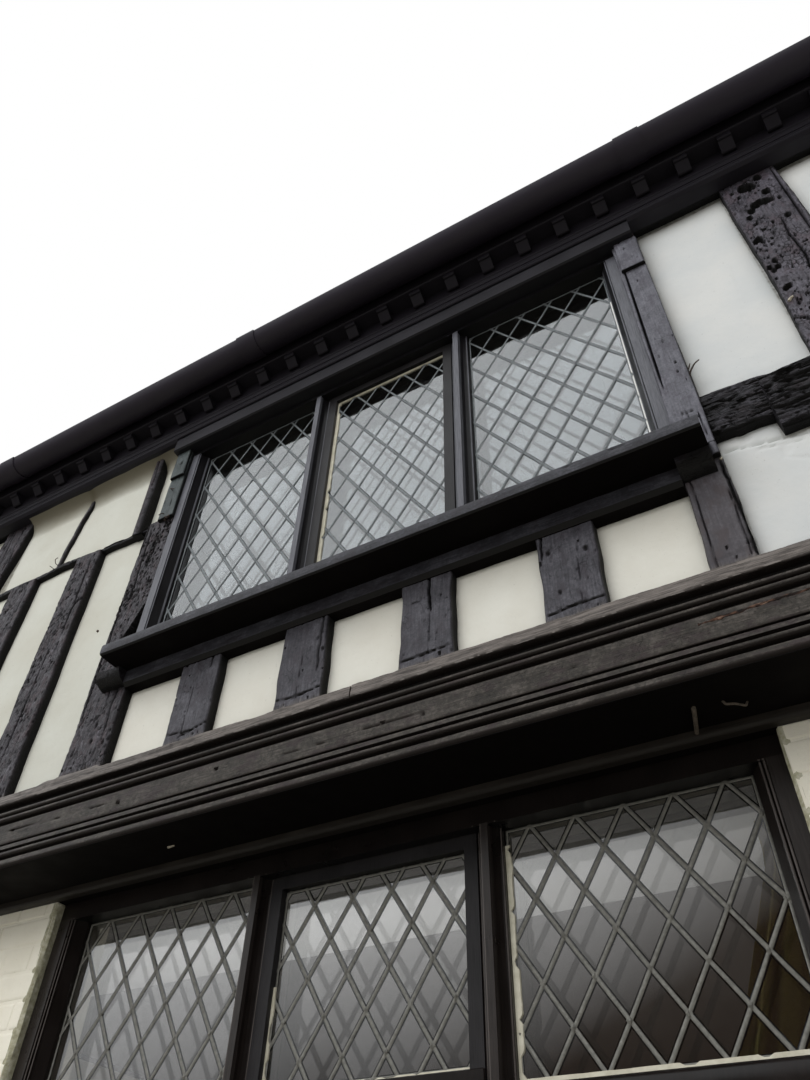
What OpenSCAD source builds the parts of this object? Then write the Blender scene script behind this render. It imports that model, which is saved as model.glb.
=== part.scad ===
// Half timbered house: painted brick below, a jettied timber frame with plaster panels above,
// a moulded bressummer, projecting leaded windows and a modillion cornice under the eaves.
// X runs along the street, the front faces -Y, and the origin is at ground level in the middle.

/* [House] */
// Length along the street
house_len = 5300; // [5100:20:6400]
// Depth of the upper storey, stud face to stud face
house_depth = 4800; // [4000:100:5800]
// How far the upper storey stands out over the ground storey
jetty = 210; // [170:5:260]
// Height from the ground to the underside of the bressummer
soffit_z = 2530; // [2400:10:2900]
// Height of the frame between the bressummer and the wall plate
frame_h = 1580; // [1520:10:1900]
// Pitch of the roof in degrees
roof_pitch = 48; // [44:1:52]

/* [Brick storey] */
// Thickness of the brick walls
brick_t = 225; // [180:5:300]
// Thickness of the ground floor
ground_floor_t = 60; // [40:5:100]
// Height of the timber plate on top of the brick walls
ground_plate_h = 40; // [30:5:60]
// Depth of the jetty soffit boards
soffit_board_t = 20; // [15:1:25]
// How far the batten under the jetty stands off the wall
batten_out = 28; // [18:1:40]
// Height of the batten under the jetty
batten_h = 22; // [15:1:35]

/* [Timber frame] */
// Thickness of the timber frame
frame_t = 150; // [130:5:200]
// Height of the bressummer
bressummer_h = 250; // [208:2:300]
// Width of the corner posts
post_w = 210; // [180:5:240]
// Width of the close studs
stud_w = 144; // [120:2:170]
// Spacing of the close studs left of the window
stud_pitch = 385; // [340:5:430]
// Width of the heavy studs right of the window
heavy_stud_w = 180; // [150:2:220]
// Spacing of the heavy studs
heavy_pitch = 572; // [520:2:620]
// Plaster between the window and the first heavy stud
first_panel_w = 288; // [240:2:340]
// How far the plaster panels lie behind the stud faces
panel_in = 33; // [15:1:45]
// Thickness of the plaster panels
panel_t = 80; // [60:2:90]
// Height of the wall plates under the roof
plate_h = 260; // [240:5:300]
// Height of the left rail above the bressummer
left_rail_up = 1098; // [1000:4:1160]
// Height of the left rail itself, a lath
left_rail_h = 16; // [12:1:60]
// How far the left rail stands out from the plaster
left_rail_out = 12; // [6:1:30]
// Height of the right rail above the bressummer
right_rail_up = 419; // [380:1:520]
// Height of the right rail itself
right_rail_h = 165; // [120:5:200]
// How much lower the right rail runs past its notch
right_rail_drop = 65; // [0:5:90]
// How crooked the old timbers are
crook = 5; // [0:0.5:8]

/* [Floor between the storeys] */
// Number of floor joists
joist_count = 9; // [7:1:11]
// Width of the floor joists
joist_w = 90; // [70:5:110]
// Height of the floor joists
joist_h = 190; // [160:5:200]
// Thickness of the floor boards
floor_board_t = 30; // [20:1:35]
// Thickness of the plaster ceiling under the joists
ceiling_t = 18; // [12:1:24]

/* [Upper window] */
// Width of the upper window frame
upper_w = 1844; // [1536:4:1900]
// Height of the projecting sill above the bressummer
sill_up = 335; // [300:5:380]
// Thickness of the projecting sill
sill_t = 44; // [36:1:60]
// How far the sill stands out from the studs
sill_out = 119; // [80:1:150]
// Height of the apron rail under the sill
apron_h = 57; // [45:1:70]
// How far the apron rail stands out from the studs
apron_out = 15; // [8:1:25]
// Width of the short studs under the sill
short_stud_w = 150; // [120:2:170]
// Depth of the window head below the wall plate
head_drop = 96; // [80:1:110]
// How far the head board stands out from the studs
head_board_out = 52; // [40:1:60]
// Width of the trim boards beside the window
trim_w = 85; // [70:1:90]
// Thickness of the trim boards beside the window
trim_t = 16; // [12:1:22]
// Height of the blocks on top of the trim boards
block_h = 180; // [120:5:220]
// How far those blocks stand out from the trim boards
block_out = 12; // [8:1:20]
// How far the rounded brackets under the sill's ends stand out
bracket_out = 48; // [40:1:60]
// Height of those brackets
bracket_h = 46; // [40:1:56]

/* [Ground window] */
// Width of the ground window opening
ground_w = 2076; // [1900:4:2100]
// How far the ground window lies left of the middle
ground_shift = 119; // [60:1:160]
// Height of the ground window sill
ground_sill_z = 1000; // [850:10:1150]
// How far the ground window lies behind the wall face
ground_reveal = 30; // [20:1:50]
// Thickness of the ground window sill
ground_sill_t = 40; // [30:1:60]

/* [Window members] */
// Depth of the window frames
win_t = 90; // [80:1:100]
// Distance from the front of a window frame to its glass
glass_in = 52; // [44:1:58]
// Thickness of the glass
glass_t = 4; // [3:0.5:6]
// Width of the jambs at the glass
jamb_w = 57; // [50:1:64]
// Width of a jamb's front face
jamb_nose = 33; // [24:1:40]
// Width of the mullions at the glass
mullion_w = 65; // [56:1:74]
// Width of a mullion's front face
mullion_nose = 20; // [14:1:26]
// Width of the casement's own frame
casement_w = 34; // [26:1:40]
// Height of the frame below the glass
win_sill_h = 50; // [40:1:70]
// Width of the secondary glazing's frame members
inner_frame_w = 30; // [24:1:40]
// Depth of the secondary glazing's frames
inner_frame_t = 24; // [20:1:30]

/* [Cornice and gutter] */
// How far the cornice stands out from the studs
cornice_out = 106; // [96:1:128]
// How far its lower ledge stands out
ledge_out = 65; // [60:1:72]
// Height of the ledge
ledge_h = 32; // [26:1:40]
// Height of the bed mould under the ledge
bed_h = 33; // [26:1:40]
// How far the frieze behind the cornice blocks stands out
frieze_out = 50; // [40:1:56]
// Height of the frieze from the ledge to the soffit
frieze_h = 95; // [84:1:110]
// Height of the fascia behind the gutter
fascia_h = 118; // [114:1:124]
// Thickness of the cornice boards
cornice_t = 24; // [18:1:30]
// Spacing of the cornice blocks
block_pitch = 148; // [130:1:170]
// Width of the cornice blocks
block_w = 46; // [38:1:56]
// Height of the cornice blocks at the frieze
block_drop = 48; // [40:1:60]
// Outer radius of the gutter
gutter_r = 59; // [52:1:64]
// Height of the gutter's rim above the soffit
gutter_up = 83; // [76:1:90]
// Wall of the gutter
gutter_wall = 5; // [4:0.5:7]
// Height of the plaster cove under the cornice
cove_h = 90; // [70:1:100]
// How far the plaster cove stands out
cove_out = 28; // [20:1:40]

/* [Roof] */
// Thickness of the tiles and battens
roof_t = 100; // [80:5:140]
// Depth of the rafters
rafter_h = 100; // [80:5:110]
// Width of the rafters
rafter_w = 80; // [60:5:100]
// Number of rafters on each slope
rafter_count = 8; // [6:1:10]
// How far the roof runs past the gable walls
verge_out = 80; // [60:5:140]
// How far the tiles run past the cornice
eaves_out = 30; // [20:2:40]
// Thickness of the bargeboards
barge_t = 30; // [22:1:40]
// Depth of the bargeboards
barge_h = 170; // [140:5:200]
// Width of each side of the ridge tiles
ridge_side = 170; // [140:5:200]
// Thickness of the ridge tiles
ridge_t = 18; // [14:1:24]

/* [Door] */
// Width of the doorway
door_w = 900; // [800:10:940]
// Height of the doorway above the floor
door_h = 2070; // [1900:10:2100]
// Brickwork between the ground window and the doorway
door_pier = 331; // [300:1:360]
// Width of the door frame's members
door_member = 70; // [50:2:80]
// Depth of the door frame
door_frame_t = 100; // [80:5:120]
// Thickness of the door
door_t = 45; // [35:1:50]
// Number of planks in the door
plank_count = 5; // [4:1:7]
// Gap round the door
door_gap = 3; // [2:0.5:5]
// Height of the lintel over the door
lintel_h = 140; // [100:5:160]
// How far the lintel runs into the wall on each side
lintel_bearing = 100; // [80:5:140]

/* [Side and rear frame] */
// Width of the studs on the sides and rear
plain_stud_w = 150; // [120:5:180]
// Panels along each side wall
side_panels_n = 11; // [9:1:13]
// Panels beside each rear window
rear_panels_n = 4; // [3:1:5]
// Height of the rails on the sides and rear
plain_rail_h = 140; // [100:5:180]
// Height of those rails above the sill beam
plain_rail_up = 640; // [560:10:740]
// Height of the gable collar above the tie beam
collar_up = 1150; // [1000:10:1300]
// Spacing of the gable uprights
gable_pitch = 560; // [500:10:640]

/* [Hidden] */

timber = "#3a3534";
old_timber = "#4c4645";
plaster = "#dedbd0";
paint = "#e4e0d3";
tile = "#86503f";
iron = "#2b2a2c";
stone = "#a39d91";
glass = "#b7c0c4";
boards = "#6d5a48";

// Plan
half_len = house_len / 2;
front_y = -house_depth / 2;
rear_y = house_depth / 2;
frame_back = front_y + frame_t;
brick_y = front_y + jetty;
brick_back = brick_y + brick_t;
inner_x = half_len - brick_t;
post_x = half_len - post_w;

// Levels
ground_plate_z = soffit_z + soffit_board_t - ground_plate_h;
beam_z = soffit_z + soffit_board_t;
frame_z = soffit_z + bressummer_h;
plate_z = frame_z + frame_h;
plate_top = plate_z + plate_h;
joist_top = beam_z + joist_h;

// Upper window
upper_x = upper_w / 2;
apron_z = frame_z + sill_up - apron_h;
sill_z = frame_z + sill_up;
upper_z = sill_z + sill_t;
head_z = plate_z - head_drop;
stud_wrap = 35;
short_wrap = 17;
sill_left_in = 15;
sill_right_past = 67;
sill_left = upper_x - sill_left_in;
sill_right = upper_x + sill_right_past;
first_stud = -upper_x - stud_w / 2;
window_stud_w = trim_w;
// Middles of the short studs as shares of half the window
short_places = [-0.6226, -0.2039, 0.218, 0.6464];
mullion_shift = 13;
ground_mullion_shift = 18;

// Ground window
ground_left = -ground_w / 2 - ground_shift;
ground_right = ground_w / 2 - ground_shift;
door_left = ground_right + door_pier;
door_right = door_left + door_w;
door_head_z = ground_floor_t + door_h;
ground_jamb_extra = 23;
ground_jamb = jamb_w + ground_jamb_extra;

// Left rail and its posts
left_rail_z = frame_z + left_rail_up;
right_rail_top = frame_z + right_rail_up + right_rail_h;
least_panel = 60;
left_count = floor((post_x + first_stud - stud_w / 2 - least_panel) / stud_pitch);
heavy_first = upper_x + window_stud_w + first_panel_w + heavy_stud_w / 2;
heavy_count = floor((post_x - heavy_first - heavy_stud_w / 2 - least_panel) / heavy_pitch);
notch_in = 144;
notch_x = upper_x + window_stud_w + notch_in;

// Cornice and roof
bed_lap = 20;
bed_z = plate_z - bed_lap;
cove_z = bed_z - cove_h;
ledge_z = bed_z + bed_h;
frieze_z = ledge_z + ledge_h;
eaves_z = frieze_z + frieze_h;
gutter_gap = 4;
gutter_z = eaves_z + gutter_up;
fascia_top = eaves_z + fascia_h;
slope = tan(roof_pitch);
along = cos(roof_pitch);
verge_x = half_len + verge_out;

// Height of the roof's underside at a distance out from the stud face
function roof_z(out) = fascia_top - (out - cornice_out) * slope;

ridge_under = roof_z(-house_depth / 2);
ridge_board_t = 40;
ridge_board_h = 170;
tie_t = frame_t;

// Points on an arc in the plane of a profile, or on part of an ellipse that is rz high
function arc(c, r, a0, a1, n, rz = 0) = [for (i = [0:n]) let (a = a0 + (a1 - a0) * i / n)
    [c[0] + r * cos(a), c[1] + (rz == 0 ? r : rz) * sin(a)]];

// Waver of an old timber's edge, from 0 to 1 along it
long_wave = [1, 0.9, 0.31];
short_wave = [0.6, 2.3, 0.77];
function waver(t, k) = crook * (long_wave[0] * sin(360 * (long_wave[1] * t + long_wave[2] * k))
    + short_wave[0] * sin(360 * (short_wave[1] * t + short_wave[2] * k)));

steps = 6;

// Outline of an upright timber with wavering edges: middle at the foot and at the top. Both edges
// of a thin one waver together
module upright(foot_x, top_x, w, z0, z1, k) {
    thin = 50;
    other = w < thin ? k : k + 2;
    polygon(concat(
        [for (i = [0:steps]) let (t = i / steps)
            [foot_x + (top_x - foot_x) * t - w / 2 + waver(t, k), z0 + (z1 - z0) * t]],
        [for (i = [steps:-1:0]) let (t = i / steps)
            [foot_x + (top_x - foot_x) * t + w / 2 + waver(t, other), z0 + (z1 - z0) * t]]));
}

// A plain rectangle from corner to corner
module panel(x0, z0, x1, z1) {
    translate([x0, z0])
        square([x1 - x0, z1 - z0]);
}

// Stands an outline of X and Z up as a wall whose front is at y
module stand(y, t) {
    translate([0, y + t, 0])
        rotate([90, 0, 0])
            linear_extrude(t)
                children();
}

// Stands an outline of Y and Z up as a side wall that starts at x
module stand_side(x, t) {
    translate([x, 0, 0])
        rotate([90, 0, 90])
            linear_extrude(t)
                children();
}

// Runs a profile of distance out and height along the street, from x0 to x1
module run(points, x0, x1) {
    stand_side(x0, x1 - x0)
        polygon([for (p = points) [front_y - p[0], p[1]]]);
}

module both_fronts() {
    children();
    mirror([0, 1, 0])
        children();
}

module both_ends() {
    children();
    mirror([1, 0, 0])
        children();
}

// Ground storey

module ground_floor() {
    color(stone)
        translate([-inner_x, brick_back, 0])
            cube([2 * inner_x, rear_y - brick_t - brick_back, ground_floor_t]);
}

module ground_window_hole() {
    panel(ground_left, ground_sill_z - ground_sill_t, ground_right, ground_plate_z);
}

module door_hole() {
    panel(door_left, 0, door_right, door_head_z);
    panel(door_left - lintel_bearing, door_head_z, door_right + lintel_bearing, door_head_z + lintel_h);
}

module front_wall() {
    color(paint)
        stand(brick_y, brick_t)
            difference() {
                panel(-half_len, 0, half_len, ground_plate_z);
                ground_window_hole();
                door_hole();
            }
}

rear_ground_z = ground_sill_z;

module rear_wall() {
    color(paint)
        stand(rear_y - brick_t, brick_t)
            difference() {
                panel(-half_len, 0, half_len, ground_plate_z);
                panel(-upper_x, rear_ground_z, upper_x, ground_plate_z);
            }
}

module side_wall() {
    color(paint)
        translate([inner_x, brick_back, 0])
            cube([brick_t, rear_y - brick_t - brick_back, ground_plate_z]);
}

module left_wall() {
    mirror([1, 0, 0])
        side_wall();
}

module right_wall() {
    side_wall();
}

module ground_wall_plate() {
    color(timber)
        translate([0, 0, ground_plate_z])
            linear_extrude(ground_plate_h)
                difference() {
                    panel(-half_len, brick_y, half_len, rear_y);
                    panel(-inner_x, brick_back, inner_x, rear_y - brick_t);
                }
}

module head_batten() {
    r = batten_h * 0.45;
    out = -jetty;
    color(timber)
        run(concat(
            [[out, soffit_z], [out, soffit_z - batten_h], [out + batten_out - r, soffit_z - batten_h]],
            arc([out + batten_out - r, soffit_z - batten_h + r], r, -90, 0, 4),
            [[out + batten_out, soffit_z]]), -half_len, half_len);
}

module threshold() {
    color(stone)
        translate([door_left, brick_y, 0])
            cube([door_w, brick_t, ground_floor_t]);
}

door_in = 40;
door_y = brick_y + door_in;
stop_w = 15;

module door_frame() {
    inner = door_member;
    color(timber) {
        stand(door_y, door_frame_t)
            difference() {
                panel(door_left, ground_floor_t, door_right, door_head_z);
                panel(door_left + inner, ground_floor_t, door_right - inner, door_head_z - inner);
            }
        stand(door_y + door_t + door_gap, door_frame_t - door_t - door_gap)
            difference() {
                panel(door_left + inner, ground_floor_t, door_right - inner, door_head_z - inner);
                panel(door_left + inner + stop_w, ground_floor_t, door_right - inner - stop_w,
                    door_head_z - inner - stop_w);
            }
    }
}

leaf_left = door_left + door_member + door_gap;
leaf_right = door_right - door_member - door_gap;
leaf_z = ground_floor_t + door_gap;
leaf_top = door_head_z - door_member - door_gap;
groove = 6;
seat_gap = 0.3;

module door() {
    plank = (leaf_right - leaf_left) / plank_count;
    y0 = door_y + door_gap - seat_gap;
    color(timber)
        translate([0, 0, leaf_z])
            linear_extrude(leaf_top - leaf_z)
                polygon(concat(
                    [for (i = [0:plank_count - 1]) let (x = leaf_left + i * plank)
                        each [[x + groove / 2, y0], [x + plank - groove / 2, y0],
                            [x + plank, i < plank_count - 1 ? y0 + groove : y0]]],
                    [[leaf_right, y0 + door_t], [leaf_left, y0 + door_t], [leaf_left, y0]]));
}

module door_lintel() {
    color(old_timber)
        stand(brick_y, brick_t)
            panel(door_left - lintel_bearing, door_head_z, door_right + lintel_bearing, door_head_z + lintel_h);
}

// Windows

// Depth of a member's square nose, and of the square beside its glass
nose_t = 12;
bead_t = 14;

// Section of a mullion that is so far from its middle to each side at the front and at the glass
module mullion_section(front, back) {
    s = glass_in - bead_t;
    polygon(concat(
        [[-back, glass_in], [-back, win_t], [back, win_t], [back, glass_in], [back, s]],
        arc([back, nose_t], back - front, 90.01, 180, 4),
        [[front, 0], [-front, 0]],
        arc([-back, nose_t], back - front, 0, 89.99, 4),
        [[-back, s]]));
}

// A three light frame: outer edges, sill and head level, jamb width and where its mullions stand
module window_frame(x0, x1, z0, z1, jamb, shift, y) {
    head = z1 - glass_top(z1);
    pitch = (x1 - x0 - 2 * jamb - 2 * mullion_w) / 3 + mullion_w;
    translate([0, y, z0]) {
        difference() {
            translate([x0, 0, 0])
                cube([x1 - x0, win_t, z1 - z0]);
            translate([x0 + jamb, -1, win_sill_h])
                cube([x1 - x0 - 2 * jamb, win_t + 2, z1 - z0 - head - win_sill_h]);
            // The hollow that runs round the inside of the frame in front of the glass
            jamb_hollow(x0 + jamb, jamb - jamb_nose - (jamb - jamb_w) / 2, win_sill_h, z1 - z0 - head);
            translate([x0 + x1, 0, 0])
                mirror([1, 0, 0])
                    jamb_hollow(x0 + jamb, jamb - jamb_nose - (jamb - jamb_w) / 2, win_sill_h, z1 - z0 - head);
        }
        for (i = [-1, 1])
            translate([(x0 + x1) / 2 + i * pitch / 2 + shift, 0, win_sill_h - 1])
                linear_extrude(z1 - z0 - head - win_sill_h + 2)
                    mullion_section(mullion_nose / 2, mullion_w / 2);
    }
}

// Cutter for the mouldings on a jamb whose inner edge is at x, w wide: beads between quirks, as many
// as there is room for, and a splay down to the glass
quirk_t = 8;
quirk_w = 1.5;
bead_pitch = 9;
bead_r = 3;

module jamb_hollow(x, w, z0, z1) {
    x0 = x - w;
    beads = max(1, round(w / (2 * bead_pitch)));
    translate([0, 0, z0])
        linear_extrude(z1 - z0)
            polygon(concat([[x + 1, -1], [x0, -1], [x0, quirk_t]],
                [for (i = [0:beads - 1]) let (b = x0 + i * bead_pitch + quirk_w, y = quirk_t + i * bead_r)
                    each concat([[b, y]], arc([b + bead_r, y - bead_r], bead_r, 180, 359, 4),
                        [[b + 2 * bead_r, y]])],
                [[x0 + beads * bead_pitch, beads * bead_r + quirk_t], [x, glass_in - bead_t],
                    [x + 1, glass_in - bead_t]]));
}

// The head member is as deep as what lies over the glass
head_lap = 21;
head_member = 50;
function glass_top(z1) = z1 == plate_z ? head_z - head_lap : z1 - head_member;

module ground_window_frame() {
    color(timber)
        window_frame(ground_left, ground_right, ground_sill_z, ground_plate_z, ground_jamb,
            ground_mullion_shift, brick_y + ground_reveal);
}

module ground_window_sill() {
    slope_drop = 8;
    out = 45;
    drip = 12;
    drip_h = 6;
    foot = ground_sill_z - ground_sill_t;
    color(timber)
        stand_side(ground_left, ground_w)
            polygon([[brick_back, ground_sill_z], [brick_y + ground_reveal, ground_sill_z],
                [brick_y - out, ground_sill_z - slope_drop], [brick_y - out, foot + drip_h],
                [brick_y - out + drip, foot + drip_h], [brick_y - out + drip, foot], [brick_back, foot]]);
}

module upper_window_frame() {
    color(timber)
        window_frame(-upper_x, upper_x, upper_z, plate_z, jamb_w, mullion_shift, front_y);
}

module rear_window_frames() {
    color(timber)
        mirror([0, 1, 0]) {
            window_frame(-upper_x, upper_x, upper_z, plate_z, jamb_w, 0, front_y);
            window_frame(-upper_x, upper_x, rear_ground_z, ground_plate_z, jamb_w, 0, front_y + ground_reveal);
        }
}

// Clear width of one light and the middle of each light
function light_w(x0, x1, jamb) = (x1 - x0 - 2 * jamb - 2 * mullion_w) / 3;

// Every window as [left, right, foot, top, jamb, shift, y of its front, 1 if it faces the street]
windows = [
    [-upper_x, upper_x, upper_z, plate_z, jamb_w, mullion_shift, front_y, 1],
    [ground_left, ground_right, ground_sill_z, ground_plate_z, ground_jamb, ground_mullion_shift,
        brick_y + ground_reveal, 1],
    [-upper_x, upper_x, upper_z, plate_z, jamb_w, 0, front_y, 0],
    [-upper_x, upper_x, rear_ground_z, ground_plate_z, jamb_w, 0, front_y + ground_reveal, 0]];

// Places children on the windows of the front, or mirrored on the rear
module per_window() {
    for (i = [0:len(windows) - 1]) {
        $win = windows[i];
        if (windows[i][7] == 1) {
            children();
        } else {
            mirror([0, 1, 0])
                children();
        }
    }
}

casement_in = 30;

module casements() {
    color(timber)
        per_window() {
            w = $win;
            clear = light_w(w[0], w[1], w[4]);
            mid = (w[0] + w[1]) / 2 + w[5];
            top = glass_top(w[3]);
            foot = w[2] + win_sill_h;
            stand(w[6] + casement_in, glass_in - casement_in)
                difference() {
                    panel(mid - clear / 2 + seat_gap, foot + seat_gap, mid + clear / 2 - seat_gap, top - seat_gap);
                    panel(mid - clear / 2 + casement_w, foot + casement_w, mid + clear / 2 - casement_w,
                        top - casement_w);
                }
        }
}

module window_glass() {
    color(glass)
        per_window() {
            w = $win;
            clear = light_w(w[0], w[1], w[4]);
            mid = (w[0] + w[1]) / 2 + w[5];
            top = glass_top(w[3]);
            foot = w[2] + win_sill_h;
            half = clear / 2 + mullion_w;
            stand(w[6] + glass_in, glass_t) {
                panel(w[0] + w[4] + seat_gap, foot + seat_gap, mid - half - seat_gap, top - seat_gap);
                panel(mid - clear / 2 + seat_gap, foot + seat_gap, mid + clear / 2 - seat_gap, top - seat_gap);
                panel(mid + half + seat_gap, foot + seat_gap, w[1] - w[4] - seat_gap, top - seat_gap);
            }
        }
}

// Secondary glazing on the room side of the two front windows

module secondary_frames() {
    color(plaster)
        for (w = windows)
            if (w[7] == 1)
                stand(w[6] + win_t, inner_frame_t)
                    difference() {
                        panel(w[0], w[2], w[1], w[3]);
                        light_openings(w, 0);
                    }
}

module secondary_glass() {
    color(glass)
        for (w = windows)
            if (w[7] == 1)
                stand(w[6] + win_t + (inner_frame_t - glass_t) / 2, glass_t)
                    light_openings(w, seat_gap);
}

// The openings of a window's secondary frame, as far in from its edges as the gap
module light_openings(w, gap) {
    n = 3;
    pitch = (w[1] - w[0] - inner_frame_w) / n;
    for (i = [0:n - 1])
        panel(w[0] + inner_frame_w + i * pitch + gap, w[2] + inner_frame_w + gap,
            w[0] + (i + 1) * pitch - gap, w[3] - inner_frame_w - gap);
}

// Jetty and floor

// Mouldings of the bressummer from the top down, as [distance out, height below its top]: fillet,
// cove, two rolls, flat band, fillet, roll and lower roll, drawn for a beam that is drawn_h high
drawn_h = 250;
fillet_h = 38;
mouldings = concat(
    [[0, 0], [4, 0], [8, -16], [9, -fillet_h], [-14, -41]],
    arc([12, -43], 24, 182, 230, 4),
    arc([2, -70], 7, 80, -80, 4),
    [[-8, -78]],
    arc([1, -89], 8, 90, -90, 4),
    [[-8, -98], [-8, -107], [4, -109], [4, -171], [-10, -173], [-10, -177]],
    [[3, -178], [5, -192], [-10, -194], [-10, -198]],
    arc([0, -207], 8, 80, -80, 4),
    [[-10, -216], [-10, -223], [4, -225]],
    arc([-4, -238], 11, 20, -70, 4),
    [[0, -drawn_h]]);

// The open joint in the fillet
joint_x = -13;
joint_w = 3;
joint_in = 8;
joint_out = 20;

module bressummer() {
    color(old_timber)
        difference() {
            run(concat([[-frame_t, frame_z]],
                [for (p = mouldings) [p[0], frame_z + p[1] * bressummer_h / drawn_h]],
                [[-frame_t, soffit_z]]), -half_len, half_len);
            translate([joint_x, front_y - joint_out, frame_z - fillet_h * bressummer_h / drawn_h])
                cube([joint_w, joint_out + joint_in, bressummer_h]);
        }
}

module jetty_soffit() {
    color(timber)
        translate([-half_len, frame_back, soffit_z])
            cube([house_len, brick_y - frame_back, soffit_board_t]);
}

joist_end_gap = 60;
joist_span = 2 * (half_len - frame_t - joist_end_gap) - joist_w;

module floor_joists() {
    color(old_timber)
        for (i = [0:joist_count - 1])
            translate([-joist_span / 2 + i * joist_span / (joist_count - 1) - joist_w / 2, frame_back, beam_z])
                cube([joist_w, house_depth - 2 * frame_t, joist_h]);
}

module ceiling() {
    color(plaster)
        translate([-inner_x, brick_back, beam_z - ceiling_t])
            cube([2 * inner_x, rear_y - brick_t - brick_back, ceiling_t]);
}

module upper_floor() {
    color(boards)
        translate([-half_len + frame_t, frame_back, joist_top])
            cube([house_len - 2 * frame_t, house_depth - 2 * frame_t, floor_board_t]);
}

module sill_beams() {
    color(old_timber)
        translate([0, 0, beam_z])
            linear_extrude(frame_z - beam_z)
                difference() {
                    panel(-half_len, frame_back, half_len, rear_y);
                    panel(-half_len + frame_t, frame_back - 1, half_len - frame_t, rear_y - frame_t);
                }
}

// Front frame

module corner_posts() {
    color(old_timber)
        both_ends()
            both_fronts()
                stand(front_y, frame_t)
                    panel(post_x, frame_z, half_len, plate_z);
}

// Studs that frame the window, wider below the sill than beside it
module window_studs_outline() {
    polygon([[first_stud - stud_w / 2, frame_z], [-upper_x + stud_wrap, frame_z], [-upper_x + stud_wrap, sill_z],
        [-sill_left, sill_z], [-sill_left, upper_z], [-upper_x, upper_z], [-upper_x, left_rail_top],
        [first_stud - stud_w / 2, left_rail_top]]);
    polygon([[upper_x - short_wrap, frame_z], [upper_x + window_stud_w, frame_z],
        [upper_x + window_stud_w, plate_z], [upper_x, plate_z], [upper_x, sill_z], [upper_x - short_wrap, sill_z]]);
}

module left_studs_outline() {
    for (i = [1:left_count])
        upright(first_stud - i * stud_pitch, first_stud - i * stud_pitch, stud_w, frame_z, left_rail_z, i);
}

module heavy_studs_outline() {
    for (i = [0:heavy_count])
        upright(heavy_first + i * heavy_pitch, heavy_first + i * heavy_pitch, heavy_stud_w, frame_z, plate_z, i + 5);
}

left_rail_top = left_rail_z + left_rail_h;
board_w = 74;

// Posts above the left rail, as [foot and top left of the first stud, width, which waver, how far out
// from the studs, how far below the cornice]: one near the window, a crooked stick and a leaning post
upper_posts = [[119, 134, 40, 3, 12, 30], [612, 551, 16, 4, -25, 47], [1085, 1008, 170, 6, 0, -bed_lap]];
leaning = upper_posts[2];

function post_fits(p) = first_stud - p[0] - p[2] / 2 > -post_x + least_panel;

// The plaster cove ends at the leaning post
cove_left = post_fits(leaning) ? first_stud - leaning[1] : -post_x;

module upper_post_outline(p) {
    upright(first_stud - p[0], first_stud - p[1], p[2], left_rail_top, bed_z - p[5], p[3]);
}

module upper_posts_outline() {
    panel(-upper_x - board_w, left_rail_top, -upper_x, plate_z);
    for (p = upper_posts)
        if (post_fits(p))
            upper_post_outline(p);
}

module front_studs() {
    color(old_timber) {
        stand(front_y, frame_t) {
            window_studs_outline();
            left_studs_outline();
            heavy_studs_outline();
            panel(-upper_x - board_w, left_rail_top, -upper_x, plate_z);
        }
        for (p = upper_posts)
            if (post_fits(p))
                stand(front_y - p[4], frame_t + p[4])
                    upper_post_outline(p);
    }
}

module short_studs_outline() {
    for (i = [0:len(short_places) - 1])
        upright(short_places[i] * upper_x, short_places[i] * upper_x, short_stud_w, frame_z, apron_z, i);
}

module short_studs() {
    color(old_timber)
        stand(front_y, frame_t)
            short_studs_outline();
}

module left_rail_outline() {
    panel(-post_x, left_rail_z, first_stud - stud_w / 2, left_rail_top);
}

module right_rail_outline() {
    n = 14;
    waves = 2.2;
    x0 = upper_x + window_stud_w;
    x1 = post_x;
    low = right_rail_top - right_rail_h;
    sag = right_rail_drop / 8;
    polygon(concat(
        [[x0, low], [notch_x, low - sag / 2], [notch_x, low - right_rail_drop + sag],
            [x1, low - right_rail_drop]],
        [for (i = [n:-1:0]) let (t = i / n) [x0 + (x1 - x0) * t, right_rail_top + waver(waves * t, 8)]]));
}

module mid_rails() {
    rail_in = panel_in - left_rail_out;
    color(old_timber) {
        stand(front_y + rail_in, frame_t - rail_in)
            left_rail_outline();
        stand(front_y, frame_t)
            difference() {
                right_rail_outline();
                heavy_studs_outline();
            }
    }
}

// What is not plaster between the corner posts of the front
module front_timber_outline() {
    window_studs_outline();
    left_studs_outline();
    heavy_studs_outline();
    upper_posts_outline();
    short_studs_outline();
    left_rail_outline();
    right_rail_outline();
    panel(-upper_x + stud_wrap, apron_z, upper_x - short_wrap, sill_z);
    panel(-upper_x, sill_z, upper_x, plate_z);
    panel(cove_left, cove_z, -upper_x - board_w, plate_z);
}

module front_panels() {
    color(plaster)
        stand(front_y + panel_in, panel_t)
            difference() {
                panel(-post_x, frame_z, post_x, plate_z);
                front_timber_outline();
            }
}

module plaster_cove() {
    lip = 4;
    past = cove_out + 5;
    color(plaster)
        difference() {
            run(concat([[-frame_t, plate_z], [-frame_t, cove_z]],
                arc([cove_out, cove_z], cove_out + panel_in, 180, 100, 8, cove_h - lip),
                [[cove_out, bed_z], [0, bed_z], [0, plate_z]]), cove_left, -upper_x - board_w);
            stand(front_y - past, frame_t + 2 * past)
                for (p = upper_posts)
                    if (post_fits(p))
                        upper_post_outline(p);
        }
}

// Upper window

module apron_rail() {
    edge = 12;
    color(timber)
        run([[-frame_t, apron_z], [apron_out - edge, apron_z], [apron_out, apron_z + edge],
            [apron_out, sill_z], [-frame_t, sill_z]], -upper_x + stud_wrap, upper_x - short_wrap);
}

bracket_past = 63;

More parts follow.
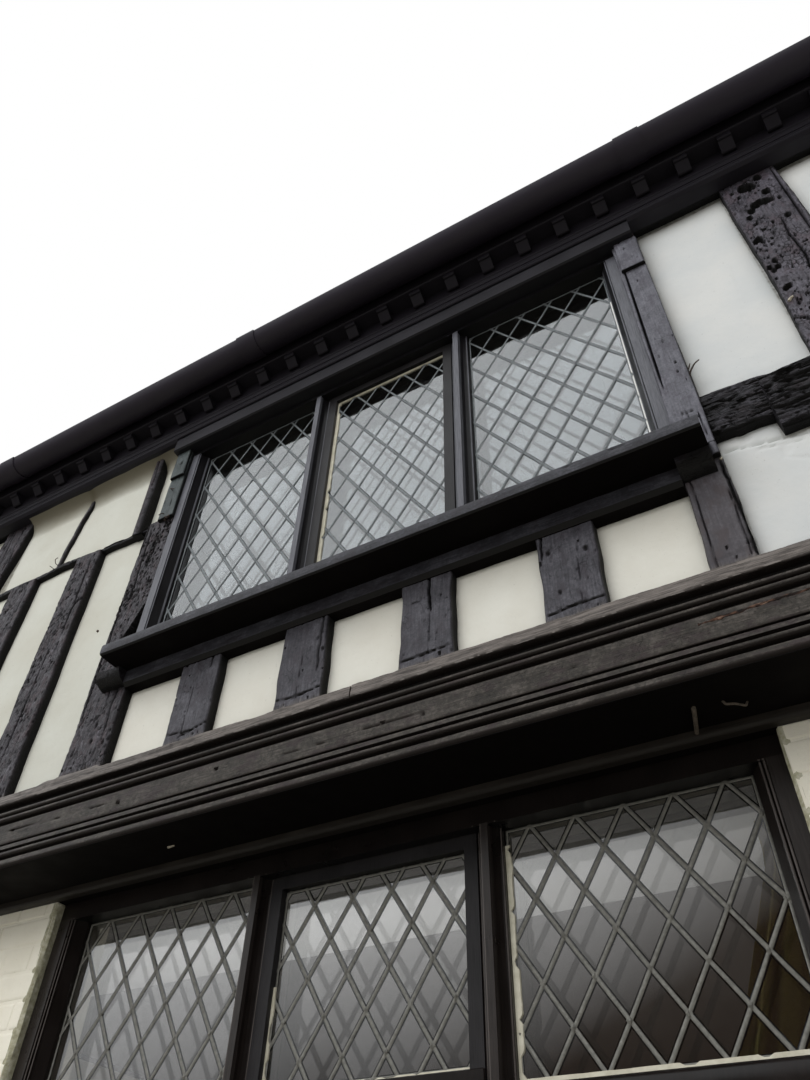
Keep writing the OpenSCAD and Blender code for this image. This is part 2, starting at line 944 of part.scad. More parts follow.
// Rounded bracket under an end of the sill, from x0 to x1
module bracket(x0, x1) {
    run(concat([[0, sill_z]], arc([0, sill_z], bracket_out, -90, 0, 7, bracket_h)), x0, x1);
}

module upper_window_sill() {
    color(timber) {
        translate([0, 0, sill_z])
            linear_extrude(sill_t) {
                panel(-sill_left, front_y - sill_out, sill_right, front_y);
                panel(-sill_left, front_y, upper_x, frame_back);
            }
        bracket(-upper_x - bracket_past, -upper_x + stud_wrap);
        bracket(upper_x - short_wrap, sill_right);
    }
}

module trim_outline() {
    difference() {
        union() {
            panel(-upper_x - board_w, left_rail_top, -upper_x, head_z);
            panel(upper_x, sill_z, upper_x + trim_w, head_z);
        }
        panel(-sill_left, sill_z, sill_right, upper_z);
    }
}

module window_trim() {
    slant = 3;
    in = 4;
    color(timber) {
        stand(front_y - trim_t, trim_t)
            trim_outline();
        for (e = [[-upper_x - board_w + in, -upper_x], [upper_x + 2 * in, upper_x + trim_w]])
            stand(front_y - trim_t - block_out, block_out)
                polygon([[e[0], head_z - block_h], [e[1], head_z - block_h - slant], [e[1], head_z],
                    [e[0], head_z]]);
    }
}

head_short = 7;

module window_head_board() {
    lip = 6;
    lean = 5;
    color(timber)
        run([[0, head_z], [head_board_out - lip, head_z], [head_board_out, head_z + lip],
            [head_board_out - lean, ledge_z - lip], [head_board_out - lean, ledge_z], [0, ledge_z]],
            -upper_x - board_w, upper_x + trim_w - head_short);
}

module wall_plates() {
    color(old_timber)
        translate([0, 0, plate_z])
            linear_extrude(plate_h)
                difference() {
                    panel(-half_len, front_y, half_len, rear_y);
                    panel(-half_len + tie_t, frame_back, half_len - tie_t, rear_y - frame_t);
                }
}

// Cornice, gutter and roof

bed_foot = 45;
roll_r = 11;
ledge_hollow = 10;
ledge_fillet = 8;
ledge_step = 2;
ledge_lip = 4;
astragal_r = 5;

module cornice_run() {
    back = cornice_out - cornice_t;
    run(concat(
        [[0, bed_z], [bed_foot, bed_z]],
        arc([bed_foot + 2, (bed_z + ledge_z) / 2], roll_r, -60, 60, 4),
        [[ledge_out - ledge_hollow, ledge_z], [ledge_out - ledge_hollow, ledge_z + ledge_fillet]],
        arc([ledge_out, ledge_z + ledge_fillet], ledge_hollow - ledge_step, 180, 95, 5,
            ledge_h - ledge_fillet - ledge_lip),
        [[ledge_out, frieze_z], [frieze_out, frieze_z], [frieze_out, eaves_z]],
        arc([cornice_out, eaves_z + astragal_r], astragal_r, -90, 89, 5),
        [[cornice_out, roof_z(cornice_out)], [back, roof_z(back)], [back, eaves_z + cornice_t],
            [0, eaves_z + cornice_t]]), -half_len, half_len);
}

module cornices() {
    color(timber) {
        difference() {
            cornice_run();
            translate([-upper_x - board_w, front_y - head_board_out - 1, bed_z - 1])
                cube([2 * upper_x + board_w + trim_w - head_short, head_board_out + 1, ledge_z - bed_z + 1]);
        }
        mirror([0, 1, 0])
            cornice_run();
    }
}

block_shift = 45;
block_tip_in = 3;

// Scrolled block under the soffit: a curl at its foot, a hollow, and a smaller curl at its tip
module cornice_block() {
    foot = eaves_z - block_drop;
    curl = 9;
    tip_r = 7;
    tip = cornice_out - block_tip_in;
    run(concat([[frieze_out, eaves_z], [frieze_out, foot + curl]],
        arc([frieze_out + curl, foot + curl], curl, 180, 330, 5),
        arc([tip - tip_r, eaves_z - tip_r - 4], tip_r, 240, 350, 4),
        [[tip, eaves_z]]), -block_w / 2, block_w / 2);
}

module cornice_blocks() {
    first = ceil((-half_len + block_w / 2 + 1 - block_shift) / block_pitch);
    last = floor((half_len - block_w / 2 - 1 - block_shift) / block_pitch);
    color(timber)
        both_fronts()
            for (i = [first:last])
                translate([block_shift + i * block_pitch, 0, 0])
                    cornice_block();
}

gutter_y = front_y - cornice_out - gutter_r - gutter_gap;
collar_len = 90;
// Joints of the gutter along the street
collar_places = [-1974, -547, 1094];

module gutter_half(r, wall, x0, x1) {
    translate([x0, gutter_y, gutter_z])
        rotate([90, 0, 90])
            linear_extrude(x1 - x0)
                difference() {
                    circle(r, $fn = 48);
                    circle(r - wall, $fn = 48);
                    translate([-2 * r, 0])
                        square([4 * r, 2 * r]);
                }
}

module gutters() {
    collar_r = gutter_r + gutter_gap;
    solid_r = gutter_r - 0.01;
    color(iron)
        both_fronts() {
            gutter_half(gutter_r, gutter_wall, -verge_x, verge_x);
            for (x = collar_places)
                gutter_half(collar_r, gutter_wall + gutter_gap, x - collar_len / 2, x + collar_len / 2);
            for (x = [-verge_x, verge_x - gutter_wall])
                gutter_half(gutter_r, solid_r, x, x + gutter_wall);
        }
}

module slope_strip(out0, t0, t1) {
    polygon([[front_y - out0, roof_z(out0) + t0 / along], [0, ridge_under + t0 / along],
        [0, ridge_under + t1 / along], [front_y - out0, roof_z(out0) + t1 / along]]);
}

module roof_slope() {
    color(tile)
        stand_side(-verge_x, 2 * verge_x)
            slope_strip(cornice_out + eaves_out, 0, roof_t);
}

module front_roof_slope() {
    roof_slope();
}

module rear_roof_slope() {
    mirror([0, 1, 0])
        roof_slope();
}

module rafters() {
    pitch = (house_len - rafter_w) / (rafter_count - 1);
    color(old_timber)
        for (i = [0:rafter_count - 1])
            stand_side(-half_len + i * pitch, rafter_w)
                difference() {
                    slope_strip(0, -rafter_h, 0);
                    panel(front_y - 1, plate_z, frame_back, plate_top);
                    panel(-ridge_board_t / 2, plate_z, ridge_board_t, ridge_under + 1);
                }
}

module front_rafters() {
    rafters();
}

module rear_rafters() {
    mirror([0, 1, 0])
        rafters();
}

module ridge_board() {
    top = ridge_under - ridge_board_t / 2 * slope;
    color(old_timber)
        translate([-half_len, -ridge_board_t / 2, top - ridge_board_h])
            cube([house_len, ridge_board_t, ridge_board_h]);
}

module ridge_tiles() {
    top = ridge_under + roof_t / along;
    side = ridge_side * along;
    drop = ridge_side * sin(roof_pitch);
    color(tile)
        stand_side(-verge_x, 2 * verge_x)
            polygon([[-side, top - drop], [0, top], [side, top - drop],
                [side, top - drop + ridge_t / along], [0, top + ridge_t / along],
                [-side, top - drop + ridge_t / along]]);
}

module bargeboards() {
    half_gap = 1;
    color(timber)
        both_ends()
            both_fronts()
                stand_side(half_len, barge_t)
                    intersection() {
                        slope_strip(cornice_out, -barge_h, 0);
                        panel(front_y - cornice_out - 1, 0, -half_gap, ridge_under + 1);
                    }
}

// Side and rear frames

side_w = house_depth - 2 * frame_t;

module side_timber_outline() {
    step = side_w / side_panels_n;
    for (i = [1:side_panels_n - 1])
        panel(-side_w / 2 + i * step - plain_stud_w / 2, frame_z, -side_w / 2 + i * step + plain_stud_w / 2,
            plate_z);
    panel(-side_w / 2, frame_z + plain_rail_up, side_w / 2, frame_z + plain_rail_up + plain_rail_h);
}

gable_foot = (ridge_under - rafter_h / along - plate_top) / slope;

module gable_outline() {
    polygon([[-gable_foot, plate_top], [gable_foot, plate_top], [0, plate_top + gable_foot * slope]]);
}

gable_studs_each = floor((gable_foot - plain_stud_w) / gable_pitch);

module gable_timber_outline() {
    for (i = [-gable_studs_each:gable_studs_each])
        panel(i * gable_pitch - plain_stud_w / 2, plate_top, i * gable_pitch + plain_stud_w / 2, ridge_under);
    panel(-gable_foot, plate_top + collar_up, gable_foot, plate_top + collar_up + plain_rail_h);
}

module ridge_board_hole() {
    foot = ridge_under - ridge_board_t / 2 * slope - ridge_board_h;
    panel(-ridge_board_t / 2, foot, ridge_board_t / 2, ridge_under);
}

module side_frame() {
    color(old_timber) {
        stand_side(half_len - tie_t, tie_t)
            side_timber_outline();
        stand_side(half_len - tie_t, tie_t)
            difference() {
                intersection() {
                    gable_outline();
                    gable_timber_outline();
                }
                ridge_board_hole();
            }
    }
}

module left_side_frame() {
    mirror([1, 0, 0])
        side_frame();
}

module right_side_frame() {
    side_frame();
}

module side_panels() {
    color(plaster)
        both_ends() {
            stand_side(half_len - panel_in - panel_t, panel_t)
                difference() {
                    panel(-side_w / 2, frame_z, side_w / 2, plate_z);
                    side_timber_outline();
                }
            stand_side(half_len - panel_in - panel_t, panel_t)
                difference() {
                    gable_outline();
                    gable_timber_outline();
                }
        }
}

module rear_timber_outline() {
    span = post_x - upper_x;
    step = (span - plain_stud_w) / rear_panels_n;
    for (s = [-1, 1])
        for (i = [0:rear_panels_n - 1])
            translate([s * (upper_x + plain_stud_w / 2 + i * step) - plain_stud_w / 2, frame_z])
                square([plain_stud_w, frame_h]);
    for (s = [-1, 1])
        translate([s * (upper_x + post_x) / 2 - span / 2, frame_z + plain_rail_up])
            square([span, plain_rail_h]);
    panel(-upper_x, upper_z - plain_rail_h, upper_x, upper_z);
}

module rear_frame() {
    color(old_timber)
        stand(rear_y - frame_t, frame_t)
            rear_timber_outline();
}

module rear_panels() {
    color(plaster)
        stand(rear_y - panel_in - panel_t, panel_t)
            difference() {
                panel(-post_x, frame_z, post_x, plate_z);
                rear_timber_outline();
                panel(-upper_x, upper_z, upper_x, plate_z);
            }
}

ground_floor();
front_wall();
rear_wall();
left_wall();
right_wall();
ground_wall_plate();
head_batten();
threshold();
door_frame();
door();
door_lintel();
ground_window_frame();
ground_window_sill();
casements();
window_glass();
secondary_frames();
secondary_glass();
bressummer();
jetty_soffit();
floor_joists();
ceiling();
upper_floor();
sill_beams();
corner_posts();
front_studs();
short_studs();
mid_rails();
front_panels();
plaster_cove();
apron_rail();
upper_window_sill();
upper_window_frame();
window_trim();
window_head_board();
wall_plates();
cornices();
cornice_blocks();
gutters();
left_side_frame();
right_side_frame();
side_panels();
rear_frame();
rear_panels();
rear_window_frames();
front_rafters();
rear_rafters();
ridge_board();
front_roof_slope();
rear_roof_slope();
ridge_tiles();
bargeboards();
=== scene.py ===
# %% [markdown]
# # A half timbered house seen from the pavement
# The house has a painted brick storey, a jettied oak frame painted black with plaster between its
# timbers, two leaded windows and a cornice with a half round gutter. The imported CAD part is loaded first
# as a fixed frame. What has the right shape already only gets a better finish, and what is rough, worn or
# repeated on the real house is built again here, in the same place.

# %% The fixed frame
import math

import bpy
import numpy as np
from mathutils import Matrix, Vector


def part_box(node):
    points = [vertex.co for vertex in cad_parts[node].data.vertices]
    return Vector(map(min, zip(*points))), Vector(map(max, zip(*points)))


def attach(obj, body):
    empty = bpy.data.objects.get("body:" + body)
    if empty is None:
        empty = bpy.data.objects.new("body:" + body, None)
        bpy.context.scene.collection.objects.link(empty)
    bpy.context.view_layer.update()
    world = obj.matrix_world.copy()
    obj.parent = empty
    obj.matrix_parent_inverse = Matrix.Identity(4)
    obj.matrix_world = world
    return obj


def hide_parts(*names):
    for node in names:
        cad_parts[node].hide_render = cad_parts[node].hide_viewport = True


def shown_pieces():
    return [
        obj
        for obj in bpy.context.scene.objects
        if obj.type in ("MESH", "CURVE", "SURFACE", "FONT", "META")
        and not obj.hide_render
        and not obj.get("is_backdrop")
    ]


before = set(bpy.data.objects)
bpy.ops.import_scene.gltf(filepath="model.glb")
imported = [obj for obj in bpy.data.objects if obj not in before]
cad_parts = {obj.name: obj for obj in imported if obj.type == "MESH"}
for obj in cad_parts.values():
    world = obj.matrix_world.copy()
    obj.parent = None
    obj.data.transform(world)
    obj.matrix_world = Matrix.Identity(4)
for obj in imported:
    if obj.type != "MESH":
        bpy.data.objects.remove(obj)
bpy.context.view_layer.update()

# %% [markdown]
# ## Camera
# The photo is taken from the pavement, 1.44 m in front of the studs, with the camera tilted steeply up and
# rolled. Its three axes come from the vanishing points of the beams and posts. The lens is given on the
# long side of the frame.

# %% Camera
camera = bpy.data.objects.new("camera", bpy.data.cameras.new("camera"))
bpy.context.scene.collection.objects.link(camera)
bpy.context.scene.camera = camera
camera.data.sensor_width = 36
camera.data.lens = 27.45
camera.data.clip_start = 0.05
CAMERA_RIGHT = (0.8705, 0.4916, 0.0252)
CAMERA_UP = (0.3341, -0.6276, 0.7032)
CAMERA_BACK = (0.3615, -0.6038, -0.7105)
turn = Matrix((CAMERA_RIGHT, CAMERA_UP, CAMERA_BACK)).transposed()
camera.matrix_world = Matrix.Translation((0.993, -3.840, 1.550)) @ turn.to_4x4()
bpy.context.scene.view_settings.view_transform = "Standard"
print("camera looks along", [round(-v, 3) for v in CAMERA_BACK])

# %% [markdown]
# ## Finishes
# Each finish is a small node tree. One helper adds a node, sets it up and links it, and another turns a
# hex colour into the linear numbers that Blender works with. Sizes of patterns are given in millimetres.

# %% Helpers for nodes and colours
MM = 0.001


def linear(code):
    """Linear colour of an sRGB hex code."""
    parts = [int(code[i:i + 2], 16) / 255 for i in (1, 3, 5)]
    return [p / 12.92 if p <= 0.04045 else ((p + 0.055) / 1.055) ** 2.4 for p in parts] + [1]


def add(tree, kind, links=None, **settings):
    """Adds a node, sets it up, and gives each input a value or the output it is linked to."""
    node = tree.nodes.new(kind)
    for name, value in settings.items():
        setattr(node, name, value)
    for socket, source in (links or {}).items():
        if isinstance(source, bpy.types.NodeSocket):
            tree.links.new(source, node.inputs[socket])
        else:
            node.inputs[socket].default_value = source
    return node


def noise(tree, vector, size, detail=4, rough=0.55):
    """Noise with features of a size in millimetres, as an output from 0 to 1."""
    return add(tree, "ShaderNodeTexNoise", {"Vector": vector, "Scale": 1 / (size * MM), "Detail": detail,
               "Roughness": rough}).outputs[0]


def ramp(tree, value, stops):
    """Colours or greys at places from 0 to 1."""
    node = add(tree, "ShaderNodeValToRGB", {0: value})
    while len(node.color_ramp.elements) < len(stops):
        node.color_ramp.elements.new(0.5)
    for element, (place, colour) in zip(node.color_ramp.elements, stops):
        element.position = place
        element.color = linear(colour) if isinstance(colour, str) else [colour] * 3 + [1]
    return node.outputs[0]


def blend(tree, share, first, second, how="MIX"):
    """Mixes two colours."""
    return add(tree, "ShaderNodeMix", {0: share, 6: first, 7: second}, data_type="RGBA",
               blend_type=how).outputs[2]


def sum_of(tree, first, second, how="ADD"):
    return add(tree, "ShaderNodeMath", {0: first, 1: second}, operation=how).outputs[0]


def times(tree, first, second):
    return sum_of(tree, first, second, "MULTIPLY")


def carried(tree, attribute):
    """A number that the piece's own points carry."""
    return add(tree, "ShaderNodeAttribute", attribute_name=attribute).outputs["Fac"]


def finish(name, rough=0.5, **sockets):
    """Starts a material and returns it, its tree and its Principled node."""
    made = bpy.data.materials.new(name)
    made.use_nodes = True
    tree = made.node_tree
    tree.nodes.clear()
    surface = add(tree, "ShaderNodeBsdfPrincipled", {"Roughness": rough, **sockets})
    add(tree, "ShaderNodeOutputMaterial", {"Surface": surface.outputs[0]})
    return made, tree, surface


def place_of(tree, stretch=(1, 1, 1), attribute=None):
    """Object coordinates, or a piece's own grain attribute, squeezed along the grain."""
    if attribute:
        source = add(tree, "ShaderNodeAttribute", attribute_name=attribute).outputs["Vector"]
    else:
        source = add(tree, "ShaderNodeTexCoord").outputs["Object"]
    return add(tree, "ShaderNodeMapping", {"Vector": source, "Scale": stretch}).outputs[0]


def coated(tree, surface, colour, *layers):
    """Gives a surface its colour, and bump from (height, depth in millimetres) pairs, one on the other."""
    if colour is not None:
        tree.links.new(colour, surface.inputs["Base Color"])
    under = None
    for height, depth in layers:
        links = {"Height": height, "Distance": depth * MM, "Strength": 1}
        if under:
            links["Normal"] = under
        under = add(tree, "ShaderNodeBump", links).outputs[0]
    tree.links.new(under, surface.inputs["Normal"])


# %% [markdown]
# Black paint on old oak: brushed on over raised grain, cracks and worm holes. The weather has chalked it to
# grey, and faces that look down are given a darker colour, a painted shade. The old coats are crazed into
# small scales. Hand made timbers carry a grain attribute, so that the grain runs along each piece, a hollow
# attribute, which paints shade nearly black into cracks, holes, sides and feet, and a bare attribute where
# feet and edges are rubbed.

# %% Paint on oak


def shade_undersides(tree, colour, dark):
    """Darkens a colour where the surface faces down: a painted shade on undersides."""
    normal = add(tree, "ShaderNodeNewGeometry").outputs["Normal"]
    up = add(tree, "ShaderNodeSeparateXYZ", {0: normal}).outputs[2]
    share = add(tree, "ShaderNodeMapRange", {"Value": up, "From Min": -0.5, "From Max": -0.08, "To Min": 1.0,
                "To Max": 0.0}).outputs[0]
    return blend(tree, share, colour, linear(dark))


def painted_oak(name, stretch, tones, depth=1.0, crazed=1.0, under="#0c0b0c", rough=0.42, attribute="grain"):
    """Tones are dark, middle and pale paint, and the brown of its old coats; under is the painted shade of
    undersides.
    """
    made, tree, surface = finish(name, rough=rough, IOR=1.36)
    where = place_of(tree, stretch, attribute)
    plain = place_of(tree, (1, 1, 1), attribute)
    grain = noise(tree, where, 4, 5, 0.65)
    broad = noise(tree, plain, 70, 5, 0.6)
    flecks = noise(tree, plain, 8, 5, 0.7)
    tone = sum_of(tree, sum_of(tree, grain, broad), flecks)
    dark, middle, pale, brown = tones
    colour = ramp(tree, sum_of(tree, tone, 3.0, "DIVIDE"), [(0.36, dark), (0.5, middle), (0.62, pale)])
    old_coat = noise(tree, place_of(tree, (1, 1, 0.5), attribute), 34, 4, 0.7)
    colour = blend(tree, ramp(tree, old_coat, [(0.5, 0.0), (0.62, 0.75)]), colour, linear(brown))
    # Scales of paint about 15 mm wide, with open joints between them where the paint is worst
    links = {"Vector": place_of(tree, (1, 1, 0.7), attribute), "Scale": 70.0}
    scales = add(tree, "ShaderNodeTexVoronoi", links, feature="DISTANCE_TO_EDGE").outputs["Distance"]
    bad = ramp(tree, noise(tree, plain, 55, 4, 0.65), [(0.5, 0.0), (0.6, crazed)])
    joint = times(tree, ramp(tree, scales, [(0.02, 1.0), (0.09, 0.0)]), bad)
    pits = ramp(tree, noise(tree, plain, 5, 3, 0.8), [(0.33, crazed), (0.42, 0.0)])
    recess_dirt_and_shade = sum_of(tree, joint, pits, "MAXIMUM")
    if attribute:
        # Worm and weather have bored it, more where the worm attribute is high
        level = sum_of(tree, times(tree, carried(tree, "worm"), 0.2), 0.27)
        bored = noise(tree, place_of(tree, (1, 1, 0.45), attribute), 8, 3, 0.65)
        bored = times(tree, sum_of(tree, level, bored, "SUBTRACT"), 20.0)
        recess_dirt_and_shade = sum_of(tree, recess_dirt_and_shade, add(tree, "ShaderNodeClamp", {0: bored}).outputs[0], "MAXIMUM")
    # Joints between the scales are dark dirt, and pits and worm holes are painted nearly black: dirt, and a
    # painted shade in them
    colour = blend(tree, times(tree, recess_dirt_and_shade, 0.92), colour, linear("#0a090b"))
    height = sum_of(tree, times(tree, grain, 0.8), recess_dirt_and_shade, "SUBTRACT")
    if attribute:
        rubbed = times(tree, carried(tree, "bare"), times(tree, noise(tree, where, 14, 5, 0.7), 1.7))
        colour = blend(tree, ramp(tree, rubbed, [(0.3, 0.0), (0.85, 1.0)]), colour,
                       ramp(tree, grain, [(0.38, "#47423f"), (0.62, "#7a736e")]))
        # The hollow attribute paints shade, nearly black, into cracks, holes, turned faces, sides and feet
        hollow = carried(tree, "hollow")
        colour = blend(tree, hollow, colour, linear("#0b0a0b"))
        tree.links.new(sum_of(tree, times(tree, hollow, 0.35), rough), surface.inputs["Roughness"])
    coated(tree, surface, shade_undersides(tree, colour, under), (broad, 3 * depth), (height, 1.1 * depth))
    return made


# A grain line is about 4 mm wide here and ten times as long
WEATHERED = ("#1b191c", "#3b383d", "#68656c", "#463a3e")
HEWN, SAWN, PLANED = (1, 1, 0.07), (1, 1, 0.06), (1, 1, 0.05)
old_oak = painted_oak("black_painted_oak_weathered", HEWN, WEATHERED, 1.5)
heavy_oak = painted_oak("black_painted_oak_bleached", HEWN, ("#242128", "#4f4c54", "#6b6872", "#4e444b"), 1.4)
rail_oak = painted_oak("black_painted_oak_gnarled", HEWN, ("#0a090b", "#1c1a1f", "#47444c", "#241d21"), 1.8)
smooth_oak = painted_oak("black_painted_oak_sawn", SAWN, ("#2c2b30", "#46454b", "#5f5e65", "#3c383e"), 0.6,
                         0.5)
post_oak = painted_oak("black_painted_oak_planed", SAWN, ("#3f3c40", "#4a474b", "#5b585d", "#463f41"), 0.4,
                       0.12)
beam_oak = painted_oak("black_painted_oak_moulded", PLANED, ("#1d1a18", "#393530", "#5a544f", "#33292a"), 0.9,
                       0.4, "#1c1614", 0.45)
sill_oak = painted_oak("black_painted_sill", PLANED, ("#1d1d21", "#37373d", "#55555c", "#2c292e"), 0.5, 0.3)
lichened_oak = painted_oak("black_painted_board_lichened", PLANED,
                           ("#2f3436", "#444b4c", "#596061", "#3a403f"), 0.5, 0.3)
trim_oak = painted_oak("black_painted_board", PLANED, ("#434349", "#5f5f67", "#74747d", "#4c4952"), 0.5, 0.35)
lying_oak = painted_oak("black_painted_oak_lying", (0.07, 0.07, 1), WEATHERED, rough=0.5, attribute=None)

# %% [markdown]
# Joinery paint: window frames, sills, trim and cornice are planed softwood under many coats of black oil
# paint. The surface is smooth, with brush marks along the piece and a soft gloss. The upper window is nearly
# black, with paler painted highlights along the edges of its mouldings; the ground window is still nearly
# black, with fainter painted highlights. The cornice gets a darker paint, a painted shade, and faces that
# look down are darkened, a painted shade too.

# %% Paint on joinery


def painted_joinery(name, stretch, dark="#141315", pale="#232224", rough=0.38, ior=1.5, under="#060506",
                    highlights=(), highlight_colour="#606167", highlight_top=9999, inside=None):
    """Highlights are (middle, half width, share) along x, in mm, where paler paint along the edges of
    mouldings is a painted highlight below highlight_top; under is the painted shade of faces that look down;
    inside is the y in mm behind which the room's cream paint begins."""
    made, tree, surface = finish(name, rough=rough, IOR=ior)
    house = add(tree, "ShaderNodeSeparateXYZ", {0: place_of(tree)}).outputs
    where = place_of(tree, stretch)
    brush = noise(tree, where, 3, 4, 0.6)
    broad = noise(tree, place_of(tree), 120, 4)
    colour = ramp(tree, sum_of(tree, sum_of(tree, brush, broad), 2.0, "DIVIDE"), [(0.35, dark), (0.65, pale)])
    chips = ramp(tree, noise(tree, where, 6, 5, 0.75), [(0.3, 0.7), (0.36, 0.0)])
    below = sum_of(tree, house[2], highlight_top * MM, "LESS_THAN")
    # Painted highlights: paler paint along the lit edges of the mouldings, only below highlight_top
    for middle, half, share in highlights:
        links = {0: house[0], 1: middle * MM, 2: half * MM}
        on_highlight = add(tree, "ShaderNodeMath", links, operation="COMPARE").outputs[0]
        wear_and_highlight = times(tree, on_highlight, ramp(tree, brush, [(0.3, 0.5 * share), (0.6, share)]))
        colour = blend(tree, times(tree, wear_and_highlight, below), colour, linear(highlight_colour))
    colour = shade_undersides(tree, blend(tree, chips, colour, linear("#0e0d0e")), under)
    if inside is not None:
        behind = sum_of(tree, house[1], inside * MM, "GREATER_THAN")
        colour = blend(tree, behind, colour, linear("#d8d5ca"))
    tree.links.new(ramp(tree, broad, [(0.3, rough - 0.06), (0.7, rough + 0.12)]), surface.inputs["Roughness"])
    coated(tree, surface, colour, (broad, 1.2), (brush, 0.3))
    return made


ACROSS = (0.05, 0.05, 1)
# Middles of the window posts, and of the edges of their mouldings, with half the width of each: painted
# highlights
UPPER_JAMB, UPPER_MULLIONS = 905.5, (-286.5, 312.5)
jamb_highlights = ((UPPER_JAMB, 17), (884.5, 2.2), (867, 1.6))
mullion_highlights = ((0, 10.5), (-29, 1.6), (29, 1.6))
upper_highlights = [(s * x, w, 1.0) for s in (-1, 1) for x, w in jamb_highlights]
upper_highlights += [(m + d, w, 1.0) for m in UPPER_MULLIONS for d, w in mullion_highlights]
GROUND_MULLIONS = (-431.5, 229.5)
mullion_highlights = ((0, 10.5, 0.3), (-9, 1.6, 1.0), (-29, 1.6, 1.0), (29, 1.6, 1.0))
ground_highlights = [(m + d, w, q) for m in GROUND_MULLIONS for d, w, q in mullion_highlights]
ground_highlights += [(x, 2.2, 1.0) for x in (-1108, -1099, 861, 870)] + [(x, 22, 0.25) for x in (-1134, 896)]
joinery_lying = painted_joinery("black_oil_paint_lying", ACROSS, "#17161a", "#2d2b31", 0.45, 1.4, "#100f14")
joinery_upper = painted_joinery("black_oil_paint_chalked", PLANED, "#0b0a0d", "#1c1b1f", 0.38, 1.4,
                                highlights=upper_highlights, highlight_colour="#63646b", highlight_top=4246)
joinery_standing = painted_joinery("black_oil_paint_standing", PLANED, "#191819", "#2c2a2c", 0.38, 1.4)
joinery_ground = painted_joinery("black_oil_paint_sheltered", PLANED, "#0d0a09", "#1c1513", 0.3, 1.45,
                                 highlights=ground_highlights, highlight_colour="#524c49", highlight_top=2464, inside=-2104)
# The cornice and its blocks get a darker paint than the other joinery, a painted shade under the gutter
shaded_cornice_paint = painted_joinery("black_oil_paint_shaded", ACROSS, "#0f0c12", "#1c1920", 0.55, 1.35, "#17141c")
batten_paint = painted_joinery("black_oil_paint_rubbed", ACROSS, "#1c1815", "#35302b", 0.5, 1.4, "#1f1b18")
# The soffit paint is a darker, duller copy of the black paint for faces that look down, a painted shade
shaded_soffit_paint = painted_joinery("black_oil_paint_dull", ACROSS, "#090504", "#150e0c", 0.8, 1.2, "#060303")
iron_paint = painted_joinery("black_paint_on_cast_iron", (0.2, 0.2, 1), "#1f1b23", "#2c2731", 0.55, 1.4,
                             "#28232d")

# %% [markdown]
# Limewashed plaster: lime and sand, trowelled between the timbers and brushed with off white wash. It is
# matt, with soft trowel waves, fine brush grain, and a darker colour where it meets the timber and up in the
# cove under the cornice, which is dirt and a painted shade.

# %% Plaster and painted brick


def lime_finish(name, pale, mid, dirt, wave=1.6, grit=0.35, edge=True):
    made, tree, surface = finish(name, rough=0.88, IOR=1.45)
    where = place_of(tree)
    clouds = noise(tree, where, 260, 6, 0.6)
    trowel = noise(tree, where, 45, 4)
    sand = noise(tree, where, 2.2, 3, 0.7)
    specks = ramp(tree, noise(tree, where, 9, 3, 0.7), [(0.67, 0.0), (0.72, 1.0)])
    colour = blend(tree, ramp(tree, clouds, [(0.35, 0.0), (0.7, 1.0)]), linear(pale), linear(mid))
    colour = blend(tree, times(tree, specks, 0.25), colour, linear(dirt))
    if edge:
        # Near the timbers and up the cove the plaster is darkened: dirt, and a painted shade in the corners
        # and under the cornice
        ragged = times(tree, carried(tree, "edge"), times(tree, noise(tree, where, 18, 5, 0.7), 1.6))
        colour = blend(tree, ramp(tree, ragged, [(0.25, 0.0), (0.95, 1.0)]), colour, linear(dirt))
        colour = blend(tree, times(tree, carried(tree, "dirt_and_shade"), 0.9), colour, linear("#6a6453"))
    coated(tree, surface, colour, (trowel, 2 * wave), (sand, grit))
    return made


limewash = lime_finish("limewashed_plaster", "#cacbc2", "#c0bfb4", "#69655a", 0.8)
fresh_limewash = lime_finish("limewashed_plaster_fresh", "#dfded5", "#d4d1c6", "#77736a", 0.8)
cool_limewash = lime_finish("limewashed_plaster_rinsed", "#d5d6d4", "#c8cccd", "#6d6a62", 0.6)
plain_plaster = lime_finish("limewashed_plaster_plain", "#d6d6ce", "#c9c9bf", "#8d8b80", edge=False)
brick_paint = lime_finish("masonry_paint_on_brick", "#efebdd", "#e2ddcc", "#9b9788", 1.3, 0.7, edge=False)
# The white ceiling paint is given a mid grey, a painted shade of the dim room behind the glass
shaded_ceiling_paint = lime_finish("white_ceiling_paint_shaded_grey", "#92908d", "#8a8885", "#74726e", 0.5, 0.2, edge=False)
fresh_paint = lime_finish("white_beam_paint", "#f2f2ef", "#e9e9e5", "#cfcdc7", 0.3, 0.2, edge=False)

# %% [markdown]
# Lead cames and old glass: lead goes dull grey outdoors and stays softly metallic. The small panes are drawn
# glass, never quite flat and a little green, and they mirror the pale sky more than they show the room.

# %% Lead and glass


def weathered_lead(name, *tones):
    made, tree, surface = finish(name, rough=0.5, Metallic=0.4)
    where = place_of(tree)
    colour = ramp(tree, noise(tree, where, 12, 5, 0.65), list(zip((0.35, 0.55, 0.75), tones)))
    coated(tree, surface, colour, (noise(tree, where, 4, 3), 0.5))
    return made


def drawn_glass(name, ior, wave, tint):
    made, tree, surface = finish(name, rough=0.012, IOR=ior)
    surface.inputs["Transmission Weight"].default_value = 1.0
    surface.inputs["Base Color"].default_value = linear(tint)
    if wave:
        coated(tree, surface, None, (noise(tree, place_of(tree), 80, 1, 0.4), wave))
    return made


